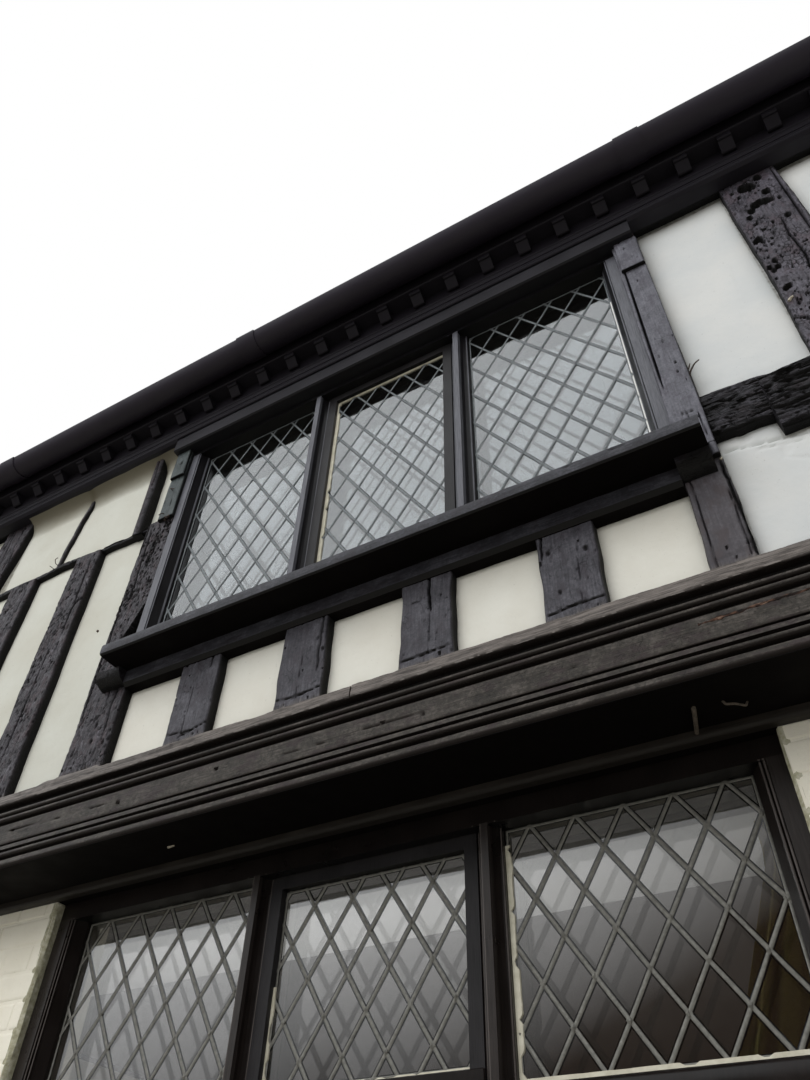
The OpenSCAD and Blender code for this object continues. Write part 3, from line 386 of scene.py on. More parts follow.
dark_lead = weathered_lead("weathered_lead_dark", "#6c7275", "#82888b", "#969b9c")
pale_lead = weathered_lead("weathered_lead_pale", "#74736e", "#86857f", "#9a9892")
upper_glass = drawn_glass("old_drawn_glass_upper", 2.25, 0.004, "#f4f8fa")
ground_glass = drawn_glass("old_drawn_glass_ground", 2.0, 0.016, "#f3f1f0")
clear_glass = drawn_glass("secondary_float_glass", 2.1, 0.0, "#f6f8f8")
print("materials:", len(bpy.data.materials))

# %% [markdown]
# Clay tiles, stone, boards, linen and bare iron. Tiles carry a shade attribute, a different number on
# each, because no two came out of the kiln alike.

# %% The other finishes


def mixed(name, size, stops, rough, bump, stretch=(1, 1, 1), shade=0.0, **sockets):
    """A finish whose colour follows noise of one size, and a shade attribute if it has one."""
    made, tree, surface = finish(name, rough=rough, **sockets)
    where = place_of(tree, stretch)
    value = noise(tree, where, size, 5, 0.6)
    if shade:
        links = {0: shade, 2: value, 3: carried(tree, "shade")}
        value = add(tree, "ShaderNodeMix", links, data_type="FLOAT").outputs[0]
    coated(tree, surface, ramp(tree, value, stops), (noise(tree, where, size / 3, 4), bump))
    return made


clay = mixed("hand_made_clay_tile", 40, [(0.1, "#4d362e"), (0.45, "#6c483b"), (0.8, "#7d594a"),
             (1.0, "#5b4c41")], 0.85, 1.2, shade=0.5)
flagstone = mixed("york_stone_flag", 60, [(0.3, "#8d877b"), (0.7, "#aaa497")], 0.8, 1.5)
pine_boards = mixed("waxed_pine_boards", 14, [(0.3, "#5c4733"), (0.7, "#7f6549")], 0.5, 0.6, (0.06, 1, 1))
bare_oak = mixed("bare_old_oak", 12, [(0.3, "#4a3d30"), (0.7, "#75644f")], 0.75, 1.0, (0.1, 0.1, 1))
cream_paint = mixed("cream_oil_paint", 20, [(0.3, "#b9b4a0"), (0.7, "#d3cfbd")], 0.5, 0.4)
rusty_iron = mixed("rusty_iron", 6, [(0.3, "#241d1a"), (0.6, "#4a3a31"), (0.8, "#7d6450")], 0.7, 0.5)
splashed_iron = mixed("paint_splashed_iron", 6, [(0.3, "#3a332d"), (0.7, "#6a6055")], 0.7, 0.5)
pale_chip = mixed("bare_wood_chip", 6, [(0.3, "#8d8473"), (0.7, "#c9c2b2")], 0.8, 0.5)
rotten_wood = mixed("rotten_oak", 5, [(0.36, "#0b0807"), (0.48, "#2a1b15"), (0.6, "#5a3f31"),
                                      (0.74, "#8d7d6d")], 0.9, 1.5, (0.2, 1, 1))
cement_and_shadow = mixed("black_came_cement_and_shadow", 8, [(0.3, "#191a1b"), (0.7, "#35383a")], 0.8, 0.3)
old_mortar = mixed("mossy_lime_mortar", 14, [(0.3, "#8a8770"), (0.5, "#a8a58d"), (0.7, "#c4c1b0")], 0.9, 0.5)
linen = mixed("olive_linen", 3, [(0.3, "#a0954e"), (0.7, "#c4b974")], 0.9, 0.3)

# %% [markdown]
# ## Studio
# The sky is a plain white to the camera. In the panes it is cooler, and falls off toward the far side of
# the street, with more of it open to the left. What lights the house is a soft sky that is brighter above
# than at the horizon, and one large soft lamp in front and above, as on a dull day. The floor is pale to the
# eye and darker to the light that it gives back. A small lamp inside the ground window stands for the
# daylight that the pavement throws on the ceiling.

# %% Sky, lamp and floor
world = bpy.data.worlds.new("soft_sky")
bpy.context.scene.world = world
world.use_nodes = True
tree = world.node_tree
tree.nodes.clear()
ray = add(tree, "ShaderNodeLightPath")
seen = sum_of(tree, sum_of(tree, ray.outputs["Is Camera Ray"], ray.outputs["Is Glossy Ray"], "MAXIMUM"),
              ray.outputs["Is Transmission Ray"], "MAXIMUM")
toward = add(tree, "ShaderNodeTexCoord").outputs["Generated"]
across, _, up = add(tree, "ShaderNodeSeparateXYZ", {0: toward}).outputs
glow = add(tree, "ShaderNodeMapRange", {"Value": up, "From Min": -0.1, "From Max": 0.8, "To Min": 0.95,
           "To Max": 1.05}).outputs[0]
soft = add(tree, "ShaderNodeBackground", {"Color": (1, 1, 1, 1), "Strength": glow})
opening = sum_of(tree, up, times(tree, across, 0.45), "SUBTRACT")
street = add(tree, "ShaderNodeMapRange", {"Value": opening, "From Min": 0.38, "From Max": 0.62}).outputs[0]
mirrored = blend(tree, street, linear("#362b24"), (1.0, 1.03, 1.05, 1))
mirrored = blend(tree, ray.outputs["Is Camera Ray"], mirrored, (1, 1, 1, 1))
white = add(tree, "ShaderNodeBackground", {"Color": mirrored, "Strength": 1.0})
both = add(tree, "ShaderNodeMixShader", {0: seen, 1: soft.outputs[0], 2: white.outputs[0]})
add(tree, "ShaderNodeOutputWorld", {"Surface": both.outputs[0]})


def area_lamp(name, size, energy, place, target):
    """A soft lamp of size (wide, high) in metres, aimed at a point, which no pane mirrors."""
    made = bpy.data.objects.new(name, bpy.data.lights.new(name, "AREA"))
    bpy.context.scene.collection.objects.link(made)
    made.data.shape = "RECTANGLE"
    made.data.size, made.data.size_y = size
    made.data.energy = energy
    made.location = place
    made.rotation_euler = (Vector(target) - made.location).to_track_quat("-Z", "Y").to_euler()
    made.visible_glossy = made.visible_transmission = False
    return made


area_lamp("soft_lamp", (9, 6), 445, (-2.5, -9, 8.5), (0, -2, 3))
room_lamp = area_lamp("room_lamp", (1.5, 0.3), 8, (-0.35, -1.8, 1.3), (-0.35, -1.5, 2.5))
room_lamp.visible_camera = False

ground, tree, surface = finish("pale_studio_floor", rough=0.9)
ray = add(tree, "ShaderNodeLightPath")
colour = blend(tree, ray.outputs["Is Camera Ray"], linear("#85827a"), linear("#f0efec"))
coated(tree, surface, colour, (noise(tree, place_of(tree), 30, 3), 0.2))
bpy.ops.mesh.primitive_circle_add(vertices=96, radius=40, fill_type="NGON", location=(0, 0, -0.002))
floor = bpy.context.object
floor.name = "studio_floor"
floor.data.materials.append(ground)
floor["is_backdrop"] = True

# %% [markdown]
# ## Measures
# The same sizes as in the CAD part, in millimetres. Out is the distance in front of the stud face, so
# a point on the street front is at y = FRONT - out.

# %% Measures of the house
HALF = 2650
FRONT, REAR = -2400, 2400
BRICK = -2190
FRAME_Z, PLATE_Z, SOFFIT_Z = 2780, 4360, 2530
RAIL_Z, RAIL_TOP, COVE_Z = 3878, 3894, 4250
APRON_Z, SILL_Z, UPPER_Z, HEAD_Z = 3058, 3115, 3159, 4264
# Inner sides of the corner posts, outer sides of the window posts, and how far the panels stand back
POST_X, WINDOW, PANEL_IN = 2440, 922, 33
# The close studs step to the left from the window post, and the heavy ones to the right
STUD_X, STUD_STEP, STUD_W = -994, -385, 144
HEAVY_X, HEAVY_STEP, HEAVY_W = 1385, 572, 180
SHORT_X, SHORT_W = (-574, -188, 201, 596), 150
STICK_X, STICK_LEAN = -1606, 61
# A roof slope passes the front at SLOPE_OUT and SLOPE_Z
PITCH = math.radians(48)
ROOF_SLOPE = math.tan(PITCH)
SLOPE_OUT, SLOPE_Z = 106, 4618
RIDGE_UNDER = SLOPE_Z + (REAR + SLOPE_OUT) * ROOF_SLOPE
# Foot and top of the lights, and width and height of their diamonds
UPPER_LIGHT, UPPER_QUARRY = (3209, 4243), (104, 163)
GROUND_LIGHT, GROUND_QUARRY = (1050, 2460), (113, 172)


def node_mm(name):
    """Lowest and highest corner of a CAD node in millimetres."""
    return [np.array(c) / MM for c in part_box(name)]


for name in ("bressummer", "front_studs", "gutters"):
    print(name, "in millimetres:", [round(float(v)) for corner in node_mm(name) for v in corner])

# %% [markdown]
# ## Making meshes
# Meshes are built as arrays of points. Value noise gives the small irregularities: it is a table of random
# numbers on a grid, blended between its points, and it is the same at every run. Shapes are joined into one
# piece, turned so that their faces look outward, and given to the house.

# %% Noise and mesh helpers


def chance(i, j, seed):
    """A random number from 0 to 1 for each whole pair i, j."""
    h = i.astype(np.uint32) * np.uint32(374761393) + j.astype(np.uint32) * np.uint32(668265263)
    h = h + np.uint32(seed * 2246822519 % 2 ** 32)
    h = (h ^ (h >> np.uint32(13))) * np.uint32(1274126177)
    return ((h ^ (h >> np.uint32(16))) & np.uint32(0xFFFFFF)).astype(float) / 0xFFFFFF


def waves(u, v, seed, octaves=3):
    """Soft noise from -1 to 1 at u, v, with finer noise added on it."""
    total, size, sum_size = 0, 1.0, 0
    for octave in range(octaves):
        iu, iv = np.floor(u).astype(np.int64), np.floor(v).astype(np.int64)
        fu, fv = u - iu, v - iv
        fu, fv = fu * fu * (3 - 2 * fu), fv * fv * (3 - 2 * fv)
        s = seed * 31 + octave
        low = chance(iu, iv, s) * (1 - fu) + chance(iu + 1, iv, s) * fu
        high = chance(iu, iv + 1, s) * (1 - fu) + chance(iu + 1, iv + 1, s) * fu
        total = total + size * (low * (1 - fv) + high * fv)
        sum_size += size
        size *= 0.5
        u, v = u * 2.03 + 11.7, v * 2.03 + 5.3
    return 2 * total / sum_size - 1


def ripple(u, seed, octaves=3):
    """Soft noise from -1 to 1 along a line."""
    return waves(u, 0 * u, seed, octaves)


def outward(points, faces):
    """Turns all faces over if the closed shape is inside out."""
    volume = 0
    for f in faces:
        a, rest = points[f[0]], points[list(f[1:])]
        volume += (a * np.cross(rest[:-1], rest[1:])).sum()
    return faces if volume >= 0 else [f[::-1] for f in faces]


def tube(rings, closed=True):
    """Faces of a closed section swept through rings, an array of rings x points x 3."""
    n, m = rings.shape[:2]
    i, j = np.meshgrid(np.arange(n - 1), np.arange(m), indexing="ij")
    k = (j + 1) % m
    quads = np.stack([i * m + j, i * m + k, (i + 1) * m + k, (i + 1) * m + j], -1).reshape(-1, 4).tolist()
    if closed:
        quads += [list(range(m))[::-1], [(n - 1) * m + q for q in range(m)]]
    return rings.reshape(-1, 3), outward(rings.reshape(-1, 3), quads)


def strip(corners):
    """A closed bar from the lines of points (x, y, z) along its corners."""
    return tube(np.stack([np.stack(np.broadcast_arrays(*corner), -1) for corner in corners], 1))


def piece(name, parts, material, replaces=(), smooth=True, crisp=42):
    """Joins parts (points, faces, attributes) into one object that rides on the house."""
    points, faces, values = [], [], {}
    start = 0
    for part in parts:
        p, f = part[0], part[1]
        points.append(p)
        faces += [[start + i for i in face] for face in f]
        for key, value in (part[2] if len(part) > 2 else {}).items():
            values.setdefault(key, []).append(value)
        start += len(p)
    mesh = bpy.data.meshes.new(name)
    mesh.from_pydata((np.concatenate(points) * MM).tolist(), [], faces)
    for key, value in values.items():
        value = np.concatenate(value).astype(np.float32)
        kind = "FLOAT" if value.ndim == 1 else "FLOAT_VECTOR"
        made = mesh.attributes.new(key, kind, "POINT")
        made.data.foreach_set("value" if kind == "FLOAT" else "vector", value.ravel())
    mesh.materials.append(material)
    mesh.polygons.foreach_set("use_smooth", [smooth] * len(faces))
    if smooth:
        mesh.set_sharp_from_angle(angle=math.radians(crisp))
    mesh.update()
    return settle(bpy.data.objects.new(name, mesh), replaces)


def settle(thing, replaces=()):
    """Puts a finished object into the scene and on the house."""
    if thing.name not in bpy.context.scene.objects:
        bpy.context.scene.collection.objects.link(thing)
    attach(thing, "root")
    if replaces:
        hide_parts(*replaces)
    thing.data.calc_loop_triangles()
    print(thing.name, len(thing.data.loop_triangles), "triangles")
    return thing


def block(low, high, soft=0.0):
    """A box from corner to corner, with its edges cut off by soft millimetres."""
    low, high = np.array(low, float), np.array(high, float)
    if not soft:
        ring = np.array([[low[0], low[1]], [high[0], low[1]], [high[0], high[1]], [low[0], high[1]]])
        rings = np.stack([np.c_[ring, np.full(4, z)] for z in (low[2], high[2])])
        return tube(rings)
    rings = []
    for z, cut in ((low[2], soft), (low[2] + soft, 0), (high[2] - soft, 0), (high[2], soft)):
        x0, y0, x1, y1 = low[0] + cut, low[1] + cut, high[0] - cut, high[1] - cut
        c = soft
        ring = [[x0 + c, y0], [x1 - c, y0], [x1, y0 + c], [x1, y1 - c], [x1 - c, y1], [x0 + c, y1],
                [x0, y1 - c], [x0, y0 + c]]
        rings.append(np.c_[np.array(ring), np.full(8, z)])
    return tube(np.stack(rings))


# %% [markdown]
# ## Old oak
# The frame's timbers were hewn by hand and have stood in the weather for centuries: soft waves from the
# adze, raised grain, long drying cracks, worm holes, rounded and broken edges. Each timber is swept from
# foot to top as a fine mesh, and this relief is carved into its face and sides, so that the light catches
# it and it stays when the model is used elsewhere. Plain boxes with bump would look flat at their edges.

# %% The carver
CROOK = 5


def waver(t, k):
    return CROOK * (np.sin(2 * np.pi * (0.9 * t + 0.31 * k)) + 0.6 * np.sin(2 * np.pi * (2.3 * t + 0.77 * k)))


def carve(a, s, marks):
    """Height in millimetres that marks take out of a face with places a across and s along."""
    h = np.zeros_like(a)
    for kind, *m in marks:
        if kind == "hole":
            a0, s0, r, deep = m
            rows = np.abs(s[:, 0] - s0) < 3 * r
            if rows.any():
                d2 = ((a[rows] - a0) ** 2 + ((s[rows] - s0) / 1.4) ** 2) / r ** 2
                h[rows] -= deep * np.clip(1.25 - d2, 0, 1) ** 0.7
        elif kind == "cross":
            a0, s0, a1, s1, wide, deep = m
            level = s0 + (s1 - s0) * (a - a0) / (a1 - a0) + 3 * ripple(a / 20, int(a0) % 89)
            h -= deep * np.exp(-((s - level) / wide) ** 2) * (a > a0) * (a < a1)
        elif kind == "turned":
            a0, slope = m
            h -= slope * np.clip(a - a0, 0, None)
        elif kind == "wedge":
            a0, s0, a1, s1, deep = m
            edge = a0 + (a1 - a0) * (s - s0) / (s1 - s0) + 3 * ripple(s / 14, 9)
            inside = np.clip((a - edge) / 3, 0, 1) * (s < s1) * (s > s0 - 40)
            h -= deep * inside
        else:
            a0, s0, a1, s1, wide, deep, seed = m
            rows = (s[:, 0] > min(s0, s1)) & (s[:, 0] < max(s0, s1))
            if rows.any():
                t = (s[rows] - s0) / (s1 - s0)
                wobble = 2.5 * wide * (kind == "split")
                middle = a0 + (a1 - a0) * t + wobble * ripple(s[rows] / 60, seed)
                width = wide * (0.25 + np.sqrt(np.clip(4 * t * (1 - t), 0, 1)))
                h[rows] -= deep * np.exp(-((a[rows] - middle) / width) ** 2) * np.clip(12 * t * (1 - t), 0, 1)
    return h


def random_marks(a0, a1, s0, s1, seed, cracks, holes):
    """Cracks along the grain and worm holes, spread over a face."""
    r = np.random.default_rng(seed)
    marks = []
    for _ in range(cracks):
        a, s, run = r.uniform(a0 + 8, a1 - 8), r.uniform(s0, s1), r.uniform(120, 520)
        marks.append(("split", a, s, a + r.uniform(-12, 12), min(s + run, s1 + 40), r.uniform(1.6, 3.6),
                      r.uniform(4, 10), seed + len(marks)))
    for _ in range(holes):
        marks.append(("hole", r.uniform(a0, a1), r.uniform(s0, s1), r.uniform(2.2, 6), r.uniform(2, 6)))
    return marks


def relief(a, s, seed, rough, run=1.0):
    """Adze waves, raised grain, rotten patches and small pits, in millimetres. Run draws the pits out."""
    h = 1.2 * waves(a / 60, s / 150, seed) + 0.8 * rough * waves(a / 8, s / 110, seed + 1, 2)
    patch = np.clip(waves(a / 50, s / 90, seed + 2) * 2 + 0.3, 0, 1)
    h -= 3.2 * rough * patch * np.clip(waves(a / 8, s / (15 * run), seed + 3, 2) * 1.5 - 0.1, 0, 1)
    return h - 1.5 * rough * np.clip(waves(a / 5, s / (8 * run), seed + 7, 1) * 2 - 0.8, 0, 1)


FACES = {"front": (0, 1, FRONT, -1), "rear": (0, 1, REAR, 1), "left": (1, 0, -HALF, -1),
         "right": (1, 0, HALF, 1)}


def onto(face, lying, a, p, s):
    """Points in the house from places across, out and along a timber of a face."""
    side, out, base, sign = FACES[face]
    made = np.zeros(a.shape + (3,))
    made[..., side] = s if lying else a
    made[..., 2] = a if lying else s
    made[..., out] = base + sign * p
    return made


def timber(s0, s1, left, right, seed, face="front", lying=False, fine=(4, 7), rough=1.0, cracks=4, holes=30,
           arris=6, deep=150, back=0.0, marks=(), sides=(70, 36, 24, 12, 4), edge=1.0, foot=False, run=1.0,
           worm=0.3):
    """A timber from s0 to s1 between two edges, which are numbers or functions of s from 0 to 1."""
    s = np.linspace(s0, s1, max(3, int((s1 - s0) / fine[1]) + 1))
    t = (s - s0) / (s1 - s0)
    lo = left(t) if callable(left) else left + 0.4 * edge * waver(t, seed)
    hi = right(t) if callable(right) else right + 0.4 * edge * waver(t, seed + 3)
    lo, hi = lo + edge * ripple(s / 35, seed), hi + edge * ripple(s / 35, seed + 9)
    mid = (lo.mean(), hi.mean())
    u = np.linspace(0, 1, max(5, int((mid[1] - mid[0]) / fine[0]) + 1))
    a = lo[:, None] + (hi - lo)[:, None] * u
    ss = np.repeat(s[:, None], len(u), 1)
    own = list(marks) + random_marks(mid[0], mid[1], s0, s1, seed, cracks, holes)
    h = relief(a, ss, seed, rough, run) + carve(a, ss, own)
    bored = worm(a, ss) if callable(worm) else worm
    bored = bored * np.clip(0.6 + 1.3 * waves(a / 55, ss / 110, seed + 12), 0, 1.3)
    h -= 7 * np.clip(3.2 * waves(a / 6, ss / (9 * run), seed + 13, 2) - 2.2 + 1.5 * bored, 0, 1)
    radius = arris * (1 + 0.8 * ripple(s / 70, seed + 4))[:, None] + 1
    for near in (a - lo[:, None], hi[:, None] - a):
        d = np.clip(1 - near / radius, 0, 1)
        h -= radius * (1 - np.sqrt(np.clip(1 - d * d, 0, 1))) * 0.9
    depths = np.array([deep, *sides], float)
    sp = np.repeat(s[:, None], len(depths), 1)
    blank = np.zeros_like(sp)
    inward = [1.5 * waves(depths[None] / 30, sp / 60, seed + k) * (depths < deep) for k in (5, 6)]
    la = lo[:, None] + inward[0] * (depths > 6)
    ra = hi[:, None] + inward[1] * (depths > 6)
    side_p = -np.repeat(depths[None], len(s), 0) - radius * 0.3 * (depths < 6) * (deep > 20)
    across = np.concatenate([la, a, ra[:, ::-1]], 1)
    out = np.concatenate([side_p, h, side_p[:, ::-1]], 1) - back
    along = np.repeat(s[:, None], across.shape[1], 1)
    points, faces = tube(onto(face, lying, across, out, along))
    shift = np.array([seed * 0.37 % 5, seed * 0.71 % 5, seed * 0.53 % 5])
    grain = np.stack([across, out, along], -1).reshape(-1, 3) * MM + shift
    # A painted shadow line at the foot, where the timber stands behind the bressummer's fillet
    foot_shadow = np.exp(-np.clip(s - s0, 0, None) / 3)[:, None] * (0.9 if foot else 0)
    # The sides and the end at the foot are painted nearly black, a painted shade
    dirt_and_shade = np.repeat(1 - 0.6 * np.exp(-depths[None] / 5), len(s), 0)
    hollow = np.concatenate([dirt_and_shade, np.clip(np.maximum(-h / 6 - 0.05, foot_shadow), 0, 1), dirt_and_shade[:, ::-1]], 1)
    hollow[0] = 1
    rubbed = np.exp(-np.clip(s - s0, 0, None) / 22)[:, None] * (0.9 if foot else 0) + 0 * h
    values = {"hollow": hollow, "bare": np.concatenate([blank, rubbed, blank], 1),
              "worm": np.concatenate([blank, bored, blank], 1)}
    return points, faces, {"grain": grain, **{key: value.ravel() for key, value in values.items()}}


# %% [markdown]
# ### Studs, posts and rails of the street front
# Left of the window stand three close studs and the window post, which ends under a thin crooked rail.
# Above it are a post, a crooked stick and a leaning post. On the right two heavier studs run the full
# height, with a thick gnarled rail between them. They are the worst worn, so they get the deepest relief.

# %% Timbers of the street front


def upright(middle, width, k, foot=0.0, lean=0.0, crook=1.0, other=2):
    """Left and right edge of a CAD upright, with a foot that spreads by a few millimetres."""
    def spread(t):
        return foot * np.exp(-t * 14)

    return (lambda t: middle + lean * t - width / 2 + crook * waver(t, k) - spread(t),
            lambda t: middle + lean * t + width / 2 + crook * waver(t, k + other) + spread(t))


close = []
for k, scars in ((1, [("split", -1440, 3020, -1350, 3034, 3, 6, 2)]),
                 (2, [("split", -1835, 3240, -1765, 3262, 3, 6, 2), ("hole", -1790, 3500, 9, 6)]), (3, [])):
    edges = upright(STUD_X + STUD_STEP * k, STUD_W, k, foot=10, crook=0.7)
    close.append(timber(FRAME_Z - 2, RAIL_Z + 1, *edges, seed=20 + k, fine=(3.3, 5.5) if k < 3 else (6, 10),
                        rough=1.25, cracks=2, holes=80, arris=7, marks=scars, foot=True, worm=0.6))
piece("oak_close_studs", close, old_oak, ["front_studs"])


def window_post_edge(t):
    z = FRAME_Z + t * (RAIL_TOP - FRAME_Z)
    return np.where(z < SILL_Z + 20, -887.0, -915.0)


r = np.random.default_rng(55)
eaten = [("hole", r.uniform(-1055, -928), r.uniform(3440, 3870), r.uniform(1.8, 4), r.uniform(3, 6))
         for _ in range(190)]


def eaten_top(a, s):
    return 0.45 + 0.75 * np.clip((s - 3430) / 60, 0, 1)


posts = [
    timber(FRAME_Z - 2, RAIL_TOP, lambda t: -1066 + 0.4 * waver(t, 4) - 8 * np.exp(-t * 14), window_post_edge,
           seed=31, fine=(3.3, 5), rough=1.4, cracks=4, holes=70, arris=8, foot=True, worm=eaten_top,
           marks=eaten + [("wedge", -986, 3296, -928, 3428, 34),
                          ("split", -1020, 3480, -1035, 3860, 3, 10, 5)]),
    timber(RAIL_TOP - 1, PLATE_Z, -996, -924, seed=32, fine=(8, 14)),
    # The right part of this post is turned back and comes out near black through the hollow attribute, a
    # painted shade on its side
    timber(RAIL_Z - 16, 4345, *upright(-1113, 42, 3, lean=-15, crook=0.15, other=0), seed=33, rough=0.6,
           cracks=1, holes=4, arris=2, back=-8, deep=158, edge=0.4, worm=0.1, marks=[("turned", -1118, 0.4)]),
    timber(RAIL_TOP - 6, 4302, *upright(STICK_X, 17, 4, lean=STICK_LEAN, crook=0.9, other=0), seed=34,
           fine=(3, 6), rough=0.4, cracks=0, holes=2, arris=3, back=17, deep=80, sides=(40, 16, 8, 4),
           worm=0.1),
    timber(RAIL_TOP - 1, PLATE_Z, *upright(-2079, 170, 6, lean=77, crook=0.25), seed=35, rough=1.4, cracks=5,
           holes=40, edge=0.5, worm=0.5)]
piece("oak_window_post_and_upper_posts", posts, old_oak, ["front_studs"])

# Chamfer line, two nail holes and a ragged edge on the lower post at the right
marks = [("split", 920, 2650, 922, 3250, 1.5, 5, 3), ("hole", 949, 2832, 3, 6), ("hole", 994, 2829, 3.4, 6),
         ("cross", 925, 2806, 1000, 2812, 3, 1.2), ("split", 1000, 2740, 1001, 3120, 3, 9, 6),
         ("split", 992, 2780, 996, 3010, 1.5, 5, 7)]
right_post = [
    timber(FRAME_Z - 2, SILL_Z + 2, 905, 1007, seed=41, fine=(3.0, 5), rough=0.2, cracks=0, holes=0, arris=3,
           foot=True, worm=0, marks=marks),
    timber(SILL_Z, PLATE_Z, 924, 1007, seed=42, fine=(5, 9), rough=0.7, cracks=2, holes=10, arris=3)]
heavy = []
# Knots and pits as (across, up, radius)
pits = (
    (1334, 4092, 9), (1348, 4128, 11), (1365, 4149, 13), (1382, 4156, 13), (1399, 4149, 12), (1412, 4143, 9),
    (1365, 4283, 17), (1384, 4275, 16), (1415, 4310, 12), (1414, 4203, 12), (1435, 4132, 6), (1426, 4017, 9),
    (1382, 4017, 4), (1324, 3955, 11), (1313, 3947, 8), (1331, 3935, 6), (1346, 3899, 4), (1327, 3880, 4),
    (1330, 3814, 8), (1310, 3791, 8), (1329, 3779, 8), (1315, 3768, 7), (1326, 3669, 8), (1316, 3662, 7),
    (1325, 3577, 5), (1328, 4283, 6), (1339, 4238, 6))
knots = [("hole", x, z, size, 0.9 * size + 3) for x, z, size in pits]
knots += [("joint", 1449, 3640, 1462, 4350, 2.4, 9, 7), ("cross", 1296, 3524, 1345, 3482, 3, 6)]
r = np.random.default_rng(56)
for x, z in ((1350, 4030), (1400, 3800), (1330, 3500), (1420, 3320), (1360, 3050)):
    knots += [("hole", x + r.normal(0, 18), z + r.normal(0, 34), r.uniform(1.8, 3.6), r.uniform(3, 5))
              for _ in range(22)]


def smooth_ring(a, s):
    """Worm everywhere but round the great knot near the top."""
    ring = np.exp(-((a - 1393) / 42) ** 2 - ((s - 4085) / 55) ** 2)
    return 0.7 - 0.4 * np.clip((a - 1380) / 50, 0, 1) - 1.2 * ring


for k, (marks, fine) in enumerate(((knots, (3.2, 5.5)), ([], (6, 10)))):
    edges = upright(HEAVY_X + HEAVY_STEP * k, HEAVY_W, k + 5, foot=8, crook=0.8)
    heavy.append(timber(FRAME_Z - 2, PLATE_Z, *edges, seed=45 + k, fine=fine, rough=0.9, cracks=1, holes=40,
                        arris=6, marks=marks, foot=True, worm=smooth_ring))
piece("oak_heavy_studs", heavy, heavy_oak, ["front_studs"])
piece("oak_right_post", right_post, post_oak, ["front_studs"])

# %% [markdown]
# The short studs under the window sill are later and smoother. The rails lie between the studs: a thin
# stick-like one on the left, and on the right a thick gnarled one that drops behind a notch.

# %% Short studs and rails
short = []
for i, middle in enumerate(SHORT_X):
    slant = [("split", middle - 14 + 10 * i, FRAME_Z + 10, middle - 8 + 12 * i, APRON_Z - 60, 1.1, 3, 60 + i),
             ("cross", middle - 72, 2814 - 4 * i, middle + 30, 2806 + 3 * i, 2.4, 4),
             ("cross", middle - 20, 2796 + 5 * i, middle + 74, 2822 - 4 * i, 2.2, 3.4),
             ("cross", middle - 60, 2960 + 17 * i, middle - 10, 2952 + 17 * i, 1.3, 2)]
    edges = upright(middle, SHORT_W, i, foot=3, crook=0.3)
    short.append(timber(FRAME_Z - 5, APRON_Z + 4, *edges, seed=50 + i, fine=(3.2, 4), rough=0.4, cracks=1,
                        holes=5, arris=3, marks=slant, edge=0.4, foot=True, worm=0.1))
piece("oak_short_studs", short, smooth_oak, ["short_studs"])

RAIL_LOW, RAIL_HIGH, NOTCH_X = 3199, 3364, 1151


def rail_top(x):
    return RAIL_HIGH + waver(2.2 * (x - 1007) / 1433, 8)


def rail_foot(x):
    sag = 8
    before = RAIL_LOW - sag / 2 * (x - 1007) / 144
    after = RAIL_LOW - 65 + sag * (1 - (x - NOTCH_X) / 1289)
    return np.where(x < NOTCH_X, before, after) + 5 * ripple(x / 45, 77)


# Heights of the crooked lath on the left, as (x, how far it rises)
LATH = ((-2440, -4), (-1905, -6), (-1789, 2), (-1711, -3), (-1634, 4), (-1560, 14), (-1438, 7), (-1317, -5),
        (-1253, -2), (-1174, -6), (-1060, -2))


def lath_line(level):
    return lambda t: level + np.interp(-POST_X + t * (POST_X - 1060), *zip(*LATH))


rails = [timber(-POST_X, -1060, lath_line(RAIL_Z - 5), lath_line(RAIL_TOP + 3), seed=61, lying=True,
                fine=(2.6, 6), rough=0.7, cracks=3, holes=10, arris=4, back=8, deep=120, sides=(40, 20, 12, 4),
                run=1.5)]
for x0, x1, seed in ((1005, 1302, 62), (1468, 1874, 63), (2040, POST_X, 64)):
    rails.append(timber(x0, x1, lambda t, x0=x0, x1=x1: rail_foot(x0 + t * (x1 - x0)),
                        lambda t, x0=x0, x1=x1: rail_top(x0 + t * (x1 - x0)), seed=seed, lying=True,
                        fine=(3.2, 5) if seed == 62 else (6, 10), rough=2.4, cracks=12, holes=20, arris=14,
                        back=1, run=2.6, worm=1.0))
piece("oak_rails", rails, rail_oak, ["mid_rails"])

# %% [markdown]
# The trim boards beside the upper window are planed, but they have split and hold old nails. A thinner
# block is planted on the top of each.

# %% Trim boards
planed = {"rough": 0.2, "cracks": 0, "holes": 5, "arris": 2, "back": -16, "deep": 16, "sides": (10, 5),
          "edge": 0.3, "worm": 0.0}
left_board = timber(RAIL_TOP - 20, HEAD_Z, -996, -WINDOW, seed=66,
                    marks=[("split", -952, 3930, -946, 4120, 1.1, 5, 2)], **planed)
nails = [("joint", 938, 4135, 933, 3420, 2.2, 14, 3), ("hole", 985, 3520, 4, 5),
         ("split", 975, 3190, 968, 3330, 1.2, 4, 4), ("split", 995, 3180, 992, 3290, 1.2, 5, 5),
         ("cross", 955, 3300, 985, 3296, 1.6, 3), ("cross", 962, 3262, 998, 3268, 1.6, 3),
         ("cross", 950, 3236, 980, 3230, 1.6, 3)]
right_board = timber(UPPER_Z, HEAD_Z, WINDOW, 1007, seed=67, fine=(2.2, 6), marks=nails,
                     **{**planed, "rough": 0.15, "holes": 6})
slip = timber(SILL_Z, UPPER_Z, 989, 1007, seed=68, **{**planed, "holes": 0, "edge": 0.2, "worm": 0.1})
